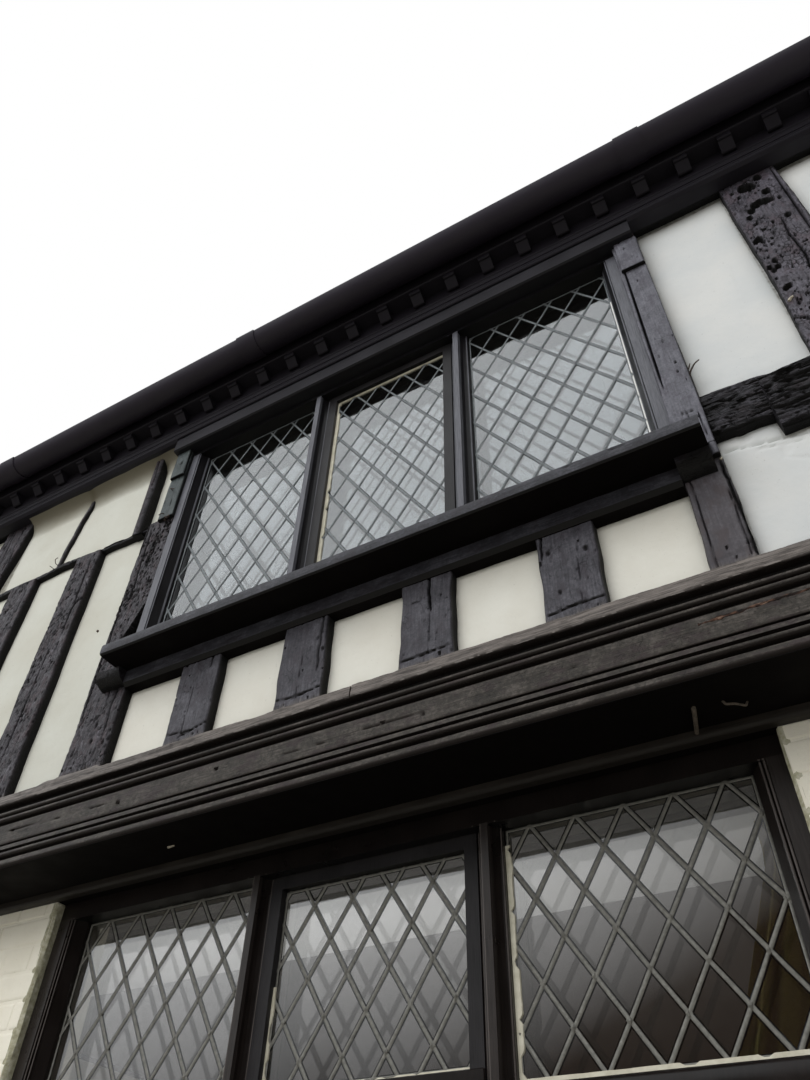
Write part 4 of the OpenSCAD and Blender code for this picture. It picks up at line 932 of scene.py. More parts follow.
left_block, right_block = [
    timber(HEAD_Z - foot, HEAD_Z, lo, hi, seed=seed,
           **{**planed, "holes": 3, "arris": 2.5, "back": -28, "deep": 12, "sides": (8, 4)})
    for lo, hi, foot, seed in ((-992, -WINDOW, 155, 69), (930, 1007, 181, 70))]
piece("left_trim_board", [left_board, left_block], lichened_oak, ["window_trim"])
piece("right_trim_board", [right_board, slip, right_block], trim_oak, ["window_trim"])

corners = []
for n, (face, sign) in enumerate((f, g) for f in ("front", "rear") for g in (-1, 1)):
    lo, hi = sorted((sign * POST_X, sign * HALF))
    corners.append(timber(FRAME_Z, PLATE_Z, lo, hi, seed=70 + n, face=face, fine=(14, 26), rough=1.2,
                          cracks=6, sides=(120, 95, 70, 45, 24, 8)))
piece("oak_corner_posts", corners, old_oak, ["corner_posts"])

# %% [markdown]
# ### Frames of the sides and the rear
# They repeat the plain close studding of the street front, with one straight rail. Nobody stands close to
# them, so the mesh is coarser.

# %% Side and rear frames
SIDE_HALF, SIDE_PANELS, PLAIN_HALF = 2250, 11, 75
PLAIN_RAIL = (3420, 3560)
PLATE_TOP, COLLAR_Z, COLLAR_H, SLOPE_T = 4620, 1150, 140, 100
GABLE_STEP = 560
GABLE_FOOT = (RIDGE_UNDER - SLOPE_T / math.cos(PITCH) - PLATE_TOP) / ROOF_SLOPE
coarse = {"fine": (24, 45), "rough": 1.2, "cracks": 3, "holes": 0, "arris": 8, "sides": (36, 10)}


def plain_stud(middle, foot, top, face, seed):
    return timber(foot, top, middle - PLAIN_HALF, middle + PLAIN_HALF, seed=seed, face=face, **coarse)


def plain_rail(lo, hi, foot, top, face, seed):
    return timber(lo, hi, foot, top, seed=seed, face=face, lying=True, back=2, **coarse)


for face in ("left", "right"):
    step = 2 * SIDE_HALF / SIDE_PANELS
    made = [plain_stud(-SIDE_HALF + i * step, FRAME_Z, PLATE_Z, face, 100 + i) for i in range(1, SIDE_PANELS)]
    made.append(plain_rail(-SIDE_HALF, SIDE_HALF, *PLAIN_RAIL, face, 120))
    for i in range(-3, 4):
        top = PLATE_TOP + (GABLE_FOOT - abs(i * GABLE_STEP) - PLAIN_HALF) * ROOF_SLOPE
        top = top if i else RIDGE_UNDER - 210
        made.append(plain_stud(i * GABLE_STEP, PLATE_TOP, top, face, 130 + i))
    reach = GABLE_FOOT - (COLLAR_Z + COLLAR_H) / ROOF_SLOPE
    made.append(plain_rail(-reach, reach, PLATE_TOP + COLLAR_Z, PLATE_TOP + COLLAR_Z + COLLAR_H, face, 140))
    piece(f"oak_{face}_frame", made, old_oak, [f"{face}_side_frame"])

made = []
for sign in (-1, 1):
    made += [plain_stud(sign * (WINDOW + PLAIN_HALF + i * 342), FRAME_Z, PLATE_Z, "rear", 150 + i)
             for i in range(4)]
    made.append(plain_rail(*sorted((sign * WINDOW, sign * POST_X)), *PLAIN_RAIL, "rear", 160 + sign))
made.append(timber(-WINDOW, WINDOW, UPPER_Z - 140, UPPER_Z, seed=165, face="rear", lying=True, **coarse))
piece("oak_rear_frame", made, old_oak, ["rear_frame"])

# %% [markdown]
# ### The bressummer
# The great beam that carries the upper storey is moulded along its whole length: fillet, hollow, two rolls,
# a flat band and more rolls. Its section is swept along the street, and the same carver wears it: a rubbed
# upper fillet with an open joint, nail holes in the band, long cracks and a rotten split near the right.

# %% Bressummer


def arc(centre, r, a0, a1, n):
    angles = np.radians(np.linspace(a0, a1, n))
    return [[centre[0] + r * math.cos(w), centre[1] + r * math.sin(w)] for w in angles]


profile = (
    [[0, 0], [3, 0], [5, -4], [8, -16], [8.5, -24], [8.8, -31], [8.5, -37], [6, -39.5], [-6, -40.5]]
    + [[-14, -41]] + arc((12, -43), 24, 182, 230, 7) + arc((2, -70), 7, 80, -80, 8)
    + [[-8, -78]] + arc((1, -89), 8, 90, -90, 9) + [[-8, -98], [-8, -107], [3, -108.5], [4, -112]]
    + [[4, -116 - 4.5 * i] for i in range(13)]
    + [[3, -172.5], [-10, -173], [-10, -177], [2, -178], [4, -184], [4.5, -191], [-10, -194], [-10, -198]]
    + arc((0, -207), 8, 80, -80, 8) + [[-10, -216], [-10, -223], [3, -225]] + arc((-4, -238), 11, 20, -70, 7)
    + [[0, -250], [-40, -250], [-110, -250], [-150, -250], [-150, 0], [-60, 0], [-20, 0]])
profile = np.array(profile, float)
JOINT_X = -11.5
# Fine steps along the part that the photo shows, and closer ones at the joint of the fillet
along = np.concatenate([np.arange(-HALF, -1950, 22), np.arange(-1950, JOINT_X - 4, 5.4),
                        [JOINT_X - 2.2, JOINT_X - 1, JOINT_X + 1, JOINT_X + 2.2],
                        np.arange(JOINT_X + 6, 1400, 5.4), np.arange(1400, HALF, 22), [HALF]])
xx = np.repeat(along[:, None], len(profile), 1)
pp, zz = (np.repeat(profile[None, :, i], len(along), 0) for i in (0, 1))
zz = zz + FRAME_Z
beam_marks = [("hole", 2641, 89, 4, 7), ("hole", 2631, 198, 4, 6), ("hole", 2630, 560, 2.5, 4),
              ("hole", 2650, -420, 4.5, 8), ("hole", 2634, -760, 4.5, 8), ("hole", 2646, -1180, 4.5, 8),
              ("split", 2652, -1500, 2640, -760, 1.2, 3, 10), ("split", 2630, -300, 2640, 300, 1.1, 3, 11),
              ("split", 2763, -1300, 2766, -300, 1.2, 4, 12), ("split", 2636, 540, 2635, 590, 1.2, 3, 13),
              ("split", 2760, -200, 2764, 420, 1.2, 3, 14), ("split", 2762, 500, 2757, 1250, 1.4, 4, 15)]
carved = carve(zz, xx, beam_marks)
wear_and_highlight = 0.5 * waves(zz / 40, xx / 400, 201) + 0.35 * waves(zz / 5, xx / 160, 202, 2)
wear_and_highlight -= 1.0 * np.clip(waves(zz / 5, xx / 40, 203) * 2 - 1.2, 0, 1)
on_fillet = np.clip((zz - (FRAME_Z - 40)) / 4, 0, 1)
open_joint = -9.0 * (np.abs(xx - JOINT_X) < 1.5) * on_fillet
wear_and_highlight += on_fillet * (1.6 * waves(xx / 60, zz / 9, 206) + 1.3 * waves(xx / 11, zz / 3.5, 208, 2))
front_part = np.clip((pp + 60) / 40, 0, 1)
recess_dirt_and_shade = np.clip((-pp - 3) / 8, 0, 1) * (pp > -30)
drop = np.clip(ripple(xx / 90, 204) * 1.8 + ripple(xx / 23, 205) * 0.8 - 0.5, 0, 2.5)
top_edge = (zz > FRAME_Z - 12) & (pp > -25)
# The hollow attribute paints shade into the cracks, the open joint, the sunk mouldings and the underside,
# along with dirt in the grooves
hollow = np.clip(-(carved + np.minimum(wear_and_highlight, 0) * 0.5 + open_joint) / 8, 0, 1)
hollow = np.maximum(hollow, np.maximum(0.85 * recess_dirt_and_shade, zz < SOFFIT_Z + 4))
bare = 1.15 * on_fillet * (pp > 0)
pp = pp + (carved + wear_and_highlight + open_joint) * front_part
# Under the window post the fillet stands higher
raised = 9 * np.clip((xx + 1150) / 30, 0, 1) * np.clip((-888 - xx) / 8, 0, 1)
raised = raised * (0.8 + 0.3 * ripple(xx / 30, 207))
zz = zz - 2.2 * drop * top_edge * np.clip((pp + 25) / 20, 0, 1) + (2.5 * (xx > JOINT_X) + raised) * top_edge
grain = np.stack([zz, pp, xx], -1).reshape(-1, 3) * MM
values = {"grain": grain, "hollow": hollow.ravel(), "bare": bare.ravel()}
swept = tube(np.stack([xx, FRONT - pp, zz], -1))
beam = piece("oak_bressummer", [(*swept, values)], beam_oak, ["bressummer"])


def paint_underside_shade(thing, limit, highest=9999):
    """Gives the faces that look down, up to a height in mm, the dark dull soffit paint, a painted shade."""
    thing.data.materials.append(shaded_soffit_paint)
    for face in thing.data.polygons:
        if face.normal.z < limit and face.center.z < highest * MM:
            face.material_index = 1


# The underside of the bressummer takes the soffit paint, a painted shade
paint_underside_shade(beam, -0.9, SOFFIT_Z + 3)

# %% [markdown]
# Rot has opened a ragged split in the band near the right end of the window, with brown fibres in it.

# %% The rotten split
xs = np.arange(846, 1200, 4.0)
t = (xs - xs[0]) / np.ptp(xs)
middle = 2652 + 12 * t + 2.2 * ripple(xs / 30, 221)
half = np.clip(0.75 + 0.9 * ripple(xs / 11, 222), 0.15, 1.6)
half = 0.6 + (5.4 - 4 * t) * half * np.clip(9 * (1 - t), 0, 1)
lift = 4.4 + 1.6 * ripple(xs / 7, 223)
split = strip((xs, FRONT - p, z) for p, z in (
    (-4, middle - half), (lift, middle - half * 0.8), (lift + 0.8, middle - 0.2 * half),
    (lift, middle + half * 0.8), (-4, middle + half)))
piece("rotten_split", [split], rotten_wood)

# %% [markdown]
# ### Window sill, its brackets and the apron rail
# They are planed softwood, but a century of rain has opened the nose of the sill and rounded the brackets.
# Their sections are swept along the wall like the bressummer's, with a lighter wear.

# %% Sill, brackets and apron rail


def closed_dense(section, step):
    """A closed section with points about every step millimetres."""
    made = []
    for (p0, z0), (p1, z1) in zip(section, section[1:] + section[:1]):
        count = max(1, int(math.hypot(p1 - p0, z1 - z0) / step))
        made += [[p0 + (p1 - p0) * i / count, z0 + (z1 - z0) * i / count] for i in range(count)]
    return np.array(made, float)


def worn_run(section, x0, x1, seed, marks=(), rough=1.0, step=7.0, dense=8.0):
    """A section (out, z) swept along the street front from x0 to x1, worn where it faces the street."""
    section = closed_dense(section, dense)
    xs = np.linspace(x0, x1, int((x1 - x0) / step) + 2)
    xx = np.repeat(xs[:, None], len(section), 1)
    pp, zz = (np.repeat(section[None, :, i], len(xs), 0) for i in (0, 1))
    wear = rough * (0.5 * waves(zz / 30, xx / 200, seed) + 0.45 * waves(zz / 6, xx / 60, seed + 1, 2)
                    - 1.6 * np.clip(waves(zz / 6, xx / 30, seed + 2) * 2 - 1.1, 0, 1))
    cut = carve(zz, xx, marks)
    # Cuts and worn pits are darkened through the hollow attribute, a painted shade
    hollow = np.clip(-(cut + np.minimum(wear, 0) * 0.7) / 5, 0, 1)
    open_part = np.clip((pp + 5) / 15, 0, 1)
    pp2 = pp + (wear + cut) * open_part
    zz2 = zz + rough * 0.8 * waves(xx / 45, pp / 40, seed + 3) * open_part
    grain = np.stack([zz, pp, xx], -1).reshape(-1, 3) * MM + seed
    points, faces = tube(np.stack([xx, FRONT - pp2, zz2], -1))
    return points, faces, {"grain": grain, "hollow": hollow.ravel(), "bare": np.zeros(pp.size)}


nose_cracks = ((-620, 90), (-340, 120), (120, 70), (640, 60), (770, 40), (830, 70))
nose_marks = [("split", 3147, x, 3146, x + run, 1.6, 5, 30 + n) for n, (x, run) in enumerate(nose_cracks)]
ring = [[-5, SILL_Z], [112, SILL_Z + 0.5], [118, SILL_Z + 5], [119, SILL_Z + 14], [119, UPPER_Z - 10],
        [116, UPPER_Z - 3], [108, UPPER_Z], [-5, UPPER_Z]]
sill = [worn_run(ring, -907, 989, 231, nose_marks),
        block((-907, FRONT + 4, SILL_Z + 0.4), (WINDOW, -2250, UPPER_Z - 0.4))]
quarter = [[48 * math.cos(w), SILL_Z + 46 * math.sin(w)] for w in np.radians(np.linspace(-90, 0, 9))]
quarter = [[-4, SILL_Z], [-4, SILL_Z - 46]] + quarter
brackets = [worn_run(quarter, x0, x1, seed, rough=3.2, step=4, dense=5)
            for x0, x1, seed in ((-985, -887, 241), (905, 989, 242))]
# The brackets take the darkest oak paint, a painted shade under the sill
piece("sill_brackets", brackets, rail_oak, ["upper_window_sill"])
ring = [[-148, APRON_Z], [3, APRON_Z], [15, APRON_Z + 12], [15, SILL_Z], [-148, SILL_Z]]
sill.append(worn_run(ring, -887, 905, 243, dense=10))
count = len(sill[1][0])
sill[1] = (*sill[1], {"grain": sill[1][0] * MM, "hollow": np.zeros(count), "bare": np.zeros(count)})
covered = ["upper_window_sill", "apron_rail"]
# The sill and the apron take the soffit paint on faces that look down, a painted shade
paint_underside_shade(piece("sill_and_apron", sill, sill_oak, covered, crisp=28), -0.92)

# %% [markdown]
# ### Plaster
# Each panel is lime plaster on laths, trowelled by eye, so it swells gently and falls back where it meets
# the oak. One fine grid runs behind the timbers on each side of the window, and an edge attribute says how
# near a timber is, for the dirt and the painted shade that darken the plaster there.

# %% Plaster between the timbers
# The timbers' faces as (left, foot, right, top)
TIMBERS = [(m - w / 2, foot, m + w / 2, top) for m, w, foot, top in
           [(STUD_X + STUD_STEP * k, STUD_W, FRAME_Z, RAIL_Z) for k in (1, 2, 3)]
           + [(HEAVY_X + HEAVY_STEP * k, HEAVY_W, FRAME_Z, PLATE_Z) for k in (0, 1)]
           + [(x, SHORT_W, FRAME_Z, APRON_Z) for x in SHORT_X]]
TIMBERS += [(-1066, FRAME_Z, -887, RAIL_TOP), (-POST_X, RAIL_Z, -1066, RAIL_TOP),
            (-1145, RAIL_TOP, -1096, 4310), (-996, RAIL_TOP, -WINDOW, PLATE_Z),
            (-2130, RAIL_TOP, -1940, PLATE_Z), (905, FRAME_Z, 1007, PLATE_Z),
            (1007, RAIL_LOW, NOTCH_X, RAIL_HIGH), (NOTCH_X, 3136, POST_X, RAIL_HIGH),
            (-HALF, FRAME_Z, -POST_X, PLATE_Z), (POST_X, FRAME_Z, HALF, PLATE_Z),
            (-HALF, SOFFIT_Z, HALF, FRAME_Z), (-WINDOW, APRON_Z, WINDOW, SILL_Z), (WINDOW, 4340, HALF, 4400)]


def nearness(x, z):
    """Distance in millimetres from the nearest timber."""
    best = np.full(x.shape, 1e4)
    for x0, z0, x1, z1 in TIMBERS:
        d = np.hypot(np.maximum(np.maximum(x0 - x, x - x1), 0), np.maximum(np.maximum(z0 - z, z - z1), 0))
        best = np.minimum(best, d)
    stick = np.abs(x - (STICK_X + STICK_LEAN * (z - RAIL_TOP) / 406)) - 8
    return np.where(z > RAIL_TOP, np.minimum(best, np.maximum(stick, 0)), best)


COVE_RISE, COVE_OUT = 90.5, 61


def sheet_faces(n, m):
    """Faces of a grid of n x m points, and the points round its edge."""
    index = np.arange(n * m).reshape(n, m)
    quads = np.stack([index[:-1, :-1], index[1:, :-1], index[1:, 1:], index[:-1, 1:]], -1).reshape(-1, 4)
    return quads, np.concatenate([index[0, :], index[1:, -1], index[-1, -2::-1], index[-2:0:-1, 0]])


def plaster_slab(x0, x1, z0, z1, cell, seed, marks=(), cove=False):
    """A slab with a trowelled front, from the front of the panels to their back."""
    xs = np.linspace(x0, x1, int((x1 - x0) / cell) + 2)
    zs = np.linspace(z0, z1, int((z1 - z0) / cell) + 2)
    if cove:
        steep = COVE_Z + COVE_RISE * np.sin(np.linspace(0.06, 1.5, 14))
        zs = np.concatenate([zs[zs < COVE_Z], steep])
    z, x = np.meshgrid(zs, xs, indexing="ij")
    near = nearness(x, z)
    h = 2.6 * waves(x / 260, z / 260, seed) + 0.6 * waves(x / 70, z / 70, seed + 1)
    h += 3.0 * np.clip(near / 40, 0, 1) ** 0.6 - 1.5 * np.exp(-near / 4)
    h += carve(x, z, marks)
    # Dirt and a painted shade darken the plaster next to the timbers
    edge = 0.8 * np.exp(-near / 4)
    dirt_and_shade = 0.16 * np.exp(-near / 16) * np.clip(0.6 + 0.5 * waves(x / 60, z / 60, seed + 2), 0, 1)
    if cove:
        # It grows out of the wall under the cornice and darkens upward: dirt, and a painted shade under the
        # cornice
        part = np.clip((z - COVE_Z) / COVE_RISE, 0, 0.9999)
        inside = (x > -1932) * (x < STUD_X)
        h = h + inside * COVE_OUT * (1 - np.sqrt(1 - part ** 2)) * (1 - 0.03 * ripple(x / 60, 313))
        dirt_and_shade = dirt_and_shade + inside * np.clip((z - COVE_Z + 8) / 75 + 0.12 * waves(x / 70, z / 30, 314), 0, 1) ** 0.8
    n, m = x.shape
    front = np.stack([x, FRONT + PANEL_IN - h, z], -1).reshape(-1, 3)
    quads, rim = sheet_faces(n, m)
    quads = quads[:, [0, 3, 2, 1]].tolist()
    behind = front[rim].copy()
    behind[:, 1] = FRONT + PANEL_IN + 80
    base = n * m
    count = len(rim)
    for i in range(count):
        j = (i + 1) % count
        quads.append([int(rim[i]), base + i, base + j, int(rim[j])])
    quads.append([base + i for i in range(count)][::-1])
    points = np.concatenate([front, behind])
    extra = np.zeros(count)
    values = {key: np.concatenate([value.ravel(), extra]) for key, value in (("edge", edge), ("dirt_and_shade", dirt_and_shade))}
    return points, outward(points, quads), values


scars = [("hole", 1067, 3178, 16, 3), ("hole", 1144, 3092, 14, 3), ("hole", 1100, 3150, 9, 2),
         ("split", 1030, 3196, 1130, 3150, 2.2, 3, 4), ("split", 1180, 3560, 1240, 3980, 1.2, 1.5, 5)]
slab = plaster_slab(-POST_X, -960, FRAME_Z - 2, 4330, 11, 301, [("hole", -1175, 3418, 6, 6)], cove=True)
piece("plaster_left", [slab], limewash, ["front_panels", "plaster_cove"])
slab = plaster_slab(-960, 960, FRAME_Z - 2, APRON_Z + 30, 9, 302)
piece("plaster_under_window", [slab], fresh_limewash, ["front_panels"])
scars += [("cross", 1012, 3158, 1210, 3124, 5, 6), ("cross", 1090, 3124, 1190, 3106, 4, 4),
          ("cross", 1130, 3074, 1185, 3040, 3.5, 3), ("hole", 1207, 4150, 4, 2)]
slabs = [plaster_slab(960, 1385, FRAME_Z - 2, PLATE_Z, 6, 303, scars),
         plaster_slab(1385, POST_X, FRAME_Z - 2, PLATE_Z, 18, 304)]
piece("plaster_right", slabs, cool_limewash, ["front_panels"])

# %% [markdown]
# ## Leaded lights
# Each light is a net of lead cames that holds small diamond panes. The net's lines are drawn as edges with
# a little hand made waver. Geometry Nodes turn them into came by sweeping a flat oval section along them,
# and put a lump of solder on each crossing. The panes are cut from the same grid, and each sits at its own
# slight angle, so that they mirror the sky unevenly, as old lights do.

# %% Geometry Nodes helpers


def new_tree(name, inputs):
    tree = bpy.data.node_groups.new(name, "GeometryNodeTree")
    tree.interface.new_socket("Geometry", in_out="INPUT", socket_type="NodeSocketGeometry")
    for label, kind, value in inputs:
        socket = tree.interface.new_socket(label, in_out="INPUT", socket_type=kind)
        if value is not None:
            socket.default_value = value
    tree.interface.new_socket("Geometry", in_out="OUTPUT", socket_type="NodeSocketGeometry")
    return tree, add(tree, "NodeGroupInput").outputs


def grown(name, mesh, tree, values, replaces=(), turned=None):
    """Runs a tree on a mesh, keeps the result as a plain mesh, and settles it on the house."""
    thing = bpy.data.objects.new(name, mesh)
    bpy.context.scene.collection.objects.link(thing)
    modifier = thing.modifiers.new("nodes", "NODES")
    modifier.node_group = tree
    for item in tree.interface.items_tree:
        if item.in_out == "INPUT" and item.name in values:
            modifier[item.identifier] = values[item.name]
    graph = bpy.context.evaluated_depsgraph_get()
    made = bpy.data.meshes.new_from_object(thing.evaluated_get(graph))
    thing.modifiers.clear()
    thing.data = made
    if turned is not None:
        made.transform(turned)
    return settle(thing, replaces)


came_tree, socket = new_tree("lead_came", [
    ("Width", "NodeSocketFloat", 0.01), ("Thickness", "NodeSocketFloat", 0.005),
    ("Sides", "NodeSocketInt", 8), ("Material", "NodeSocketMaterial", None)])
line = add(came_tree, "GeometryNodeMeshToCurve", {0: socket[0]})
line = add(came_tree, "GeometryNodeSetCurveNormal", {0: line.outputs[0]}, mode="Z_UP")
oval = add(came_tree, "GeometryNodeCurvePrimitiveCircle", {"Resolution": socket["Sides"], "Radius": 0.5})
size = add(came_tree, "ShaderNodeCombineXYZ", {0: socket["Width"], 1: socket["Thickness"], 2: 1.0})
oval = add(came_tree, "GeometryNodeTransform", {0: oval.outputs[0], "Scale": size.outputs[0]})
swept = add(came_tree, "GeometryNodeCurveToMesh", {0: line.outputs[0], 1: oval.outputs[0], "Fill Caps": True})
solid = add(came_tree, "GeometryNodeRealizeInstances", {0: swept.outputs[0]})
solid = add(came_tree, "GeometryNodeSetMaterial", {0: solid.outputs[0], "Material": socket["Material"]})
add(came_tree, "NodeGroupOutput", {0: solid.outputs[0]})

set_out, socket = new_tree("set_out_pieces", [
    ("Piece", "NodeSocketObject", None), ("Seed", "NodeSocketInt", 1), ("Turn", "NodeSocketFloat", 0.0),
    ("Shift", "NodeSocketFloat", 0.0), ("Material", "NodeSocketMaterial", None)])


def at_random(size):
    """A random vector whose numbers lie between less and plus a size."""
    most = add(set_out, "ShaderNodeCombineXYZ", {0: size, 1: size, 2: size}).outputs[0]
    least = add(set_out, "ShaderNodeVectorMath", {0: most, "Scale": -1.0}, operation="SCALE").outputs[0]
    return add(set_out, "FunctionNodeRandomValue", {0: least, 1: most, "Seed": socket["Seed"]},
               data_type="FLOAT_VECTOR").outputs[0]


placed = add(set_out, "GeometryNodeSetPosition", {0: socket[0], "Offset": at_random(socket["Shift"])})
info = add(set_out, "GeometryNodeObjectInfo", {0: socket["Piece"]})
lean = add(set_out, "GeometryNodeInputNamedAttribute", {0: "lean"}, data_type="FLOAT_VECTOR")
part = add(set_out, "GeometryNodeInputNamedAttribute", {0: "part"}, data_type="FLOAT_VECTOR")
copies = add(set_out, "GeometryNodeInstanceOnPoints", {
    0: placed.outputs[0], "Instance": info.outputs["Geometry"], "Rotation": lean.outputs[0],
    "Scale": part.outputs[0]})
turned = at_random(socket["Turn"])
rotated = add(set_out, "GeometryNodeRotateInstances", {0: copies.outputs[0], "Rotation": turned})
own = add(set_out, "FunctionNodeRandomValue", {"Seed": socket["Seed"]}, data_type="FLOAT")
stored = add(set_out, "GeometryNodeStoreNamedAttribute", {0: rotated.outputs[0], "Name": "shade",
             "Value": own.outputs[1]}, data_type="FLOAT", domain="INSTANCE")
solid = add(set_out, "GeometryNodeRealizeInstances", {0: stored.outputs[0]})
solid = add(set_out, "GeometryNodeSetMaterial", {0: solid.outputs[0], "Material": socket["Material"]})
add(set_out, "NodeGroupOutput", {0: solid.outputs[0]})


def spread(name, sample, places, material, slot=None, replaces=(), seed=1, turn=0.0, shift=0.0):
    """Sets copies of a sample shape out at places of (x, y, z, lean x, lean y, lean z, scale x, y, z)."""
    rows = np.array(places, float)
    mesh = bpy.data.meshes.new(name)
    mesh.from_pydata((rows[:, :3] * MM).tolist(), [], [])
    for key, columns in (("lean", rows[:, 3:6]), ("part", rows[:, 6:9])):
        mesh.attributes.new(key, "FLOAT_VECTOR", "POINT").data.foreach_set("vector", columns.ravel())
    points, faces = sample
    shape = bpy.data.meshes.new(name + "_sample")
    shape.from_pydata((points * MM).tolist(), [], faces)
    holder = bpy.data.objects.new(name + "_sample", shape)
    bpy.context.scene.collection.objects.link(holder)
    made = grown(name, mesh, set_out, {"Piece": holder, "Seed": seed, "Turn": turn, "Shift": shift * MM,
                                       "Material": material}, replaces)
    bpy.data.objects.remove(holder)
    return made


# %% [markdown]
# The nets of the lights: a transom parts the ground window of the street, so it has six, and the other
# windows three each. Lines are clipped to each light, and so are the diamonds between them.

# %% Nets and panes
# Lights as (left, right, foot, top) and the y of the glass middle, with the diamond's width and height
GROUND_LIGHTS = [(-1077, -464), (-399, 197), (262, 839)]
UPPER_LIGHTS = [(-865, -319), (-254, 280), (345, 865)]
REAR_LIGHTS = [(-865, -332.3), (-266.3, 266.3), (332.3, 865)]
TRANSOM = (1876, 1941)
TRANSOM_LIGHTS = ((TRANSOM[1] + 4, GROUND_LIGHT[1]), (GROUND_LIGHT[0], TRANSOM[0] - 4))
nets = [(*x, *z, y, *quarry) for lights, z, y, quarry in (
    (UPPER_LIGHTS, UPPER_LIGHT, FRONT + 50, UPPER_QUARRY),
    (GROUND_LIGHTS, TRANSOM_LIGHTS[0], BRICK + 82, GROUND_QUARRY),
    (GROUND_LIGHTS, TRANSOM_LIGHTS[1], BRICK + 82, GROUND_QUARRY),
    (REAR_LIGHTS, UPPER_LIGHT, REAR - 50, UPPER_QUARRY),
    (REAR_LIGHTS, GROUND_LIGHT, REAR - 82, GROUND_QUARRY)) for x in lights]
CASEMENT_W = 34
# The first three nets are in the upper street window, and the photo shows the first six
UPPER_NETS, SHOWN_NETS = 3, 6


def clip(polygon, axis, limit, keep_above):
    """The part of a polygon on one side of a line."""
    made = []
    for i, p in enumerate(polygon):
        q = polygon[(i + 1) % len(polygon)]
        inside_p = (p[axis] >= limit) == keep_above
        inside_q = (q[axis] >= limit) == keep_above
        if inside_p:
            made.append(p)
        if inside_p != inside_q:
            t = (limit - p[axis]) / (q[axis] - p[axis])
            made.append(p + t * (q - p))
    return made


# The upper street window has finer and darker cames than the rest
works = {"upper": ([], [], [], []), "ground": ([], [], [], [])}
for number, (x0, x1, z0, z1, y, wide, high) in enumerate(nets):
    net_points, net_edges, panes, joints = works["upper" if number < UPPER_NETS else "ground"]
    r = np.random.default_rng(400 + number)
    if number % 3 == 1:
        x0, x1, z0, z1 = x0 + CASEMENT_W, x1 - CASEMENT_W, z0 + CASEMENT_W, z1 - CASEMENT_W
    cx, cz = (x0 + x1) / 2, (z0 + z1) / 2
    nx, nz = int((x1 - x0) / wide) + 2, int((z1 - z0) / high) + 2
    for i in range(-nx, nx + 1):
        for j in range(-nz, nz + 1):
            for half in (0, 0.5):
                mx, mz = cx + (i + half) * wide, cz + (j + half) * high
                left, right, foot, top = mx - wide / 2, mx + wide / 2, mz - high / 2, mz + high / 2
                diamond = [np.array(q) for q in ((left, mz), (mx, foot), (right, mz), (mx, top))]
                for axis, limit, above in ((0, x0 - 4, True), (0, x1 + 4, False), (1, z0 - 4, True),
                                           (1, z1 + 4, False)):
                    diamond = clip(diamond, axis, limit, above) if diamond else diamond
                if len(diamond) > 2 and np.ptp([q[0] for q in diamond]) > 3:
                    tilt = r.normal(0, 0.006, 2)
                    flat = np.array(diamond)
                    lift = (flat[:, 0] - mx) * tilt[0] + (flat[:, 1] - mz) * tilt[1]
                    sides = [np.stack([flat[:, 0], y + lift + t, flat[:, 1]], -1) for t in (-1.5, 1.5)]
                    panes.append(tube(np.stack(sides)))
                for px, pz in ((mx, foot), (right, mz)):
                    if x0 + 3 < px < x1 - 3 and z0 + 3 < pz < z1 - 3:
                        joints.append((px, y, pz, 0, 0, r.uniform(0, 3), 1, 1, 1))
    slope = high / wide
    for sign in (-1, 1):
        for k in range(-nx - nz - 2, nx + nz + 3):
            # The line z = cz + sign * slope * (x - cx) + (k + 0.5) * high, clipped to the light
            level = cz + (k + 0.5) * high
            ends = sorted((end - level) / (sign * slope) + cx for end in (z0, z1))
            a, b = max(ends[0], x0), min(ends[1], x1)
            if b - a > 4:
                every = 26 if number < SHOWN_NETS else 60
                count = max(2, int((b - a) * math.hypot(1, slope) / every) + 1)
                xs = np.linspace(a, b, count)
                zs = level + sign * slope * (xs - cx)
                bend = 1.1 * waves(xs / 70 + 3 * k, 0 * xs + number, 500 + number)
                side = 1.6 * r.uniform(-1, 1)
                start = len(net_points)
                for q in range(count):
                    net_points.append((xs[q] + bend[q], zs[q] + side, -y))
                net_edges += [(start + q, start + q + 1) for q in range(count - 1)]
    start = len(net_points)
    rim = 4
    net_points += [(x0 + rim, z0 + rim, -y), (x1 - rim, z0 + rim, -y), (x1 - rim, z1 - rim, -y),
                   (x0 + rim, z1 - rim, -y)]
    net_edges += [(start + q, start + (q + 1) % 4) for q in range(4)]
# The net is drawn lying flat, x and z of the house as x and y, and stood up once it is swept
stand_up = Matrix(((1, 0, 0, 0), (0, 0, -1, 0), (0, 1, 0, 0), (0, 0, 0, 1)))
for part, glass, lead, width in (("upper", upper_glass, dark_lead, 8.4),
                                 ("ground", ground_glass, pale_lead, 10.5)):
    net_points, net_edges, panes, joints = works[part]
    piece(f"glass_quarries_{part}", panes, glass, ["window_glass"], smooth=False)
    # Black cement under each came, wider and flatter than it, draws a dark line along each side of it: cement,
    # and a painted shadow of the came
    for name, wide, thick, sides, material in (("lead_cames", width, 0.007, 8, lead),
                                               ("glazing_cement", width + 4, 0.0042, 6, cement_and_shadow)):
        mesh = bpy.data.meshes.new(f"{name}_{part}")
        mesh.from_pydata((np.array(net_points) * MM).tolist(), net_edges, [])
        grown(f"{name}_{part}", mesh, came_tree, {"Width": wide * MM, "Thickness": thick, "Sides": sides,
                                                  "Material": material}, turned=stand_up)


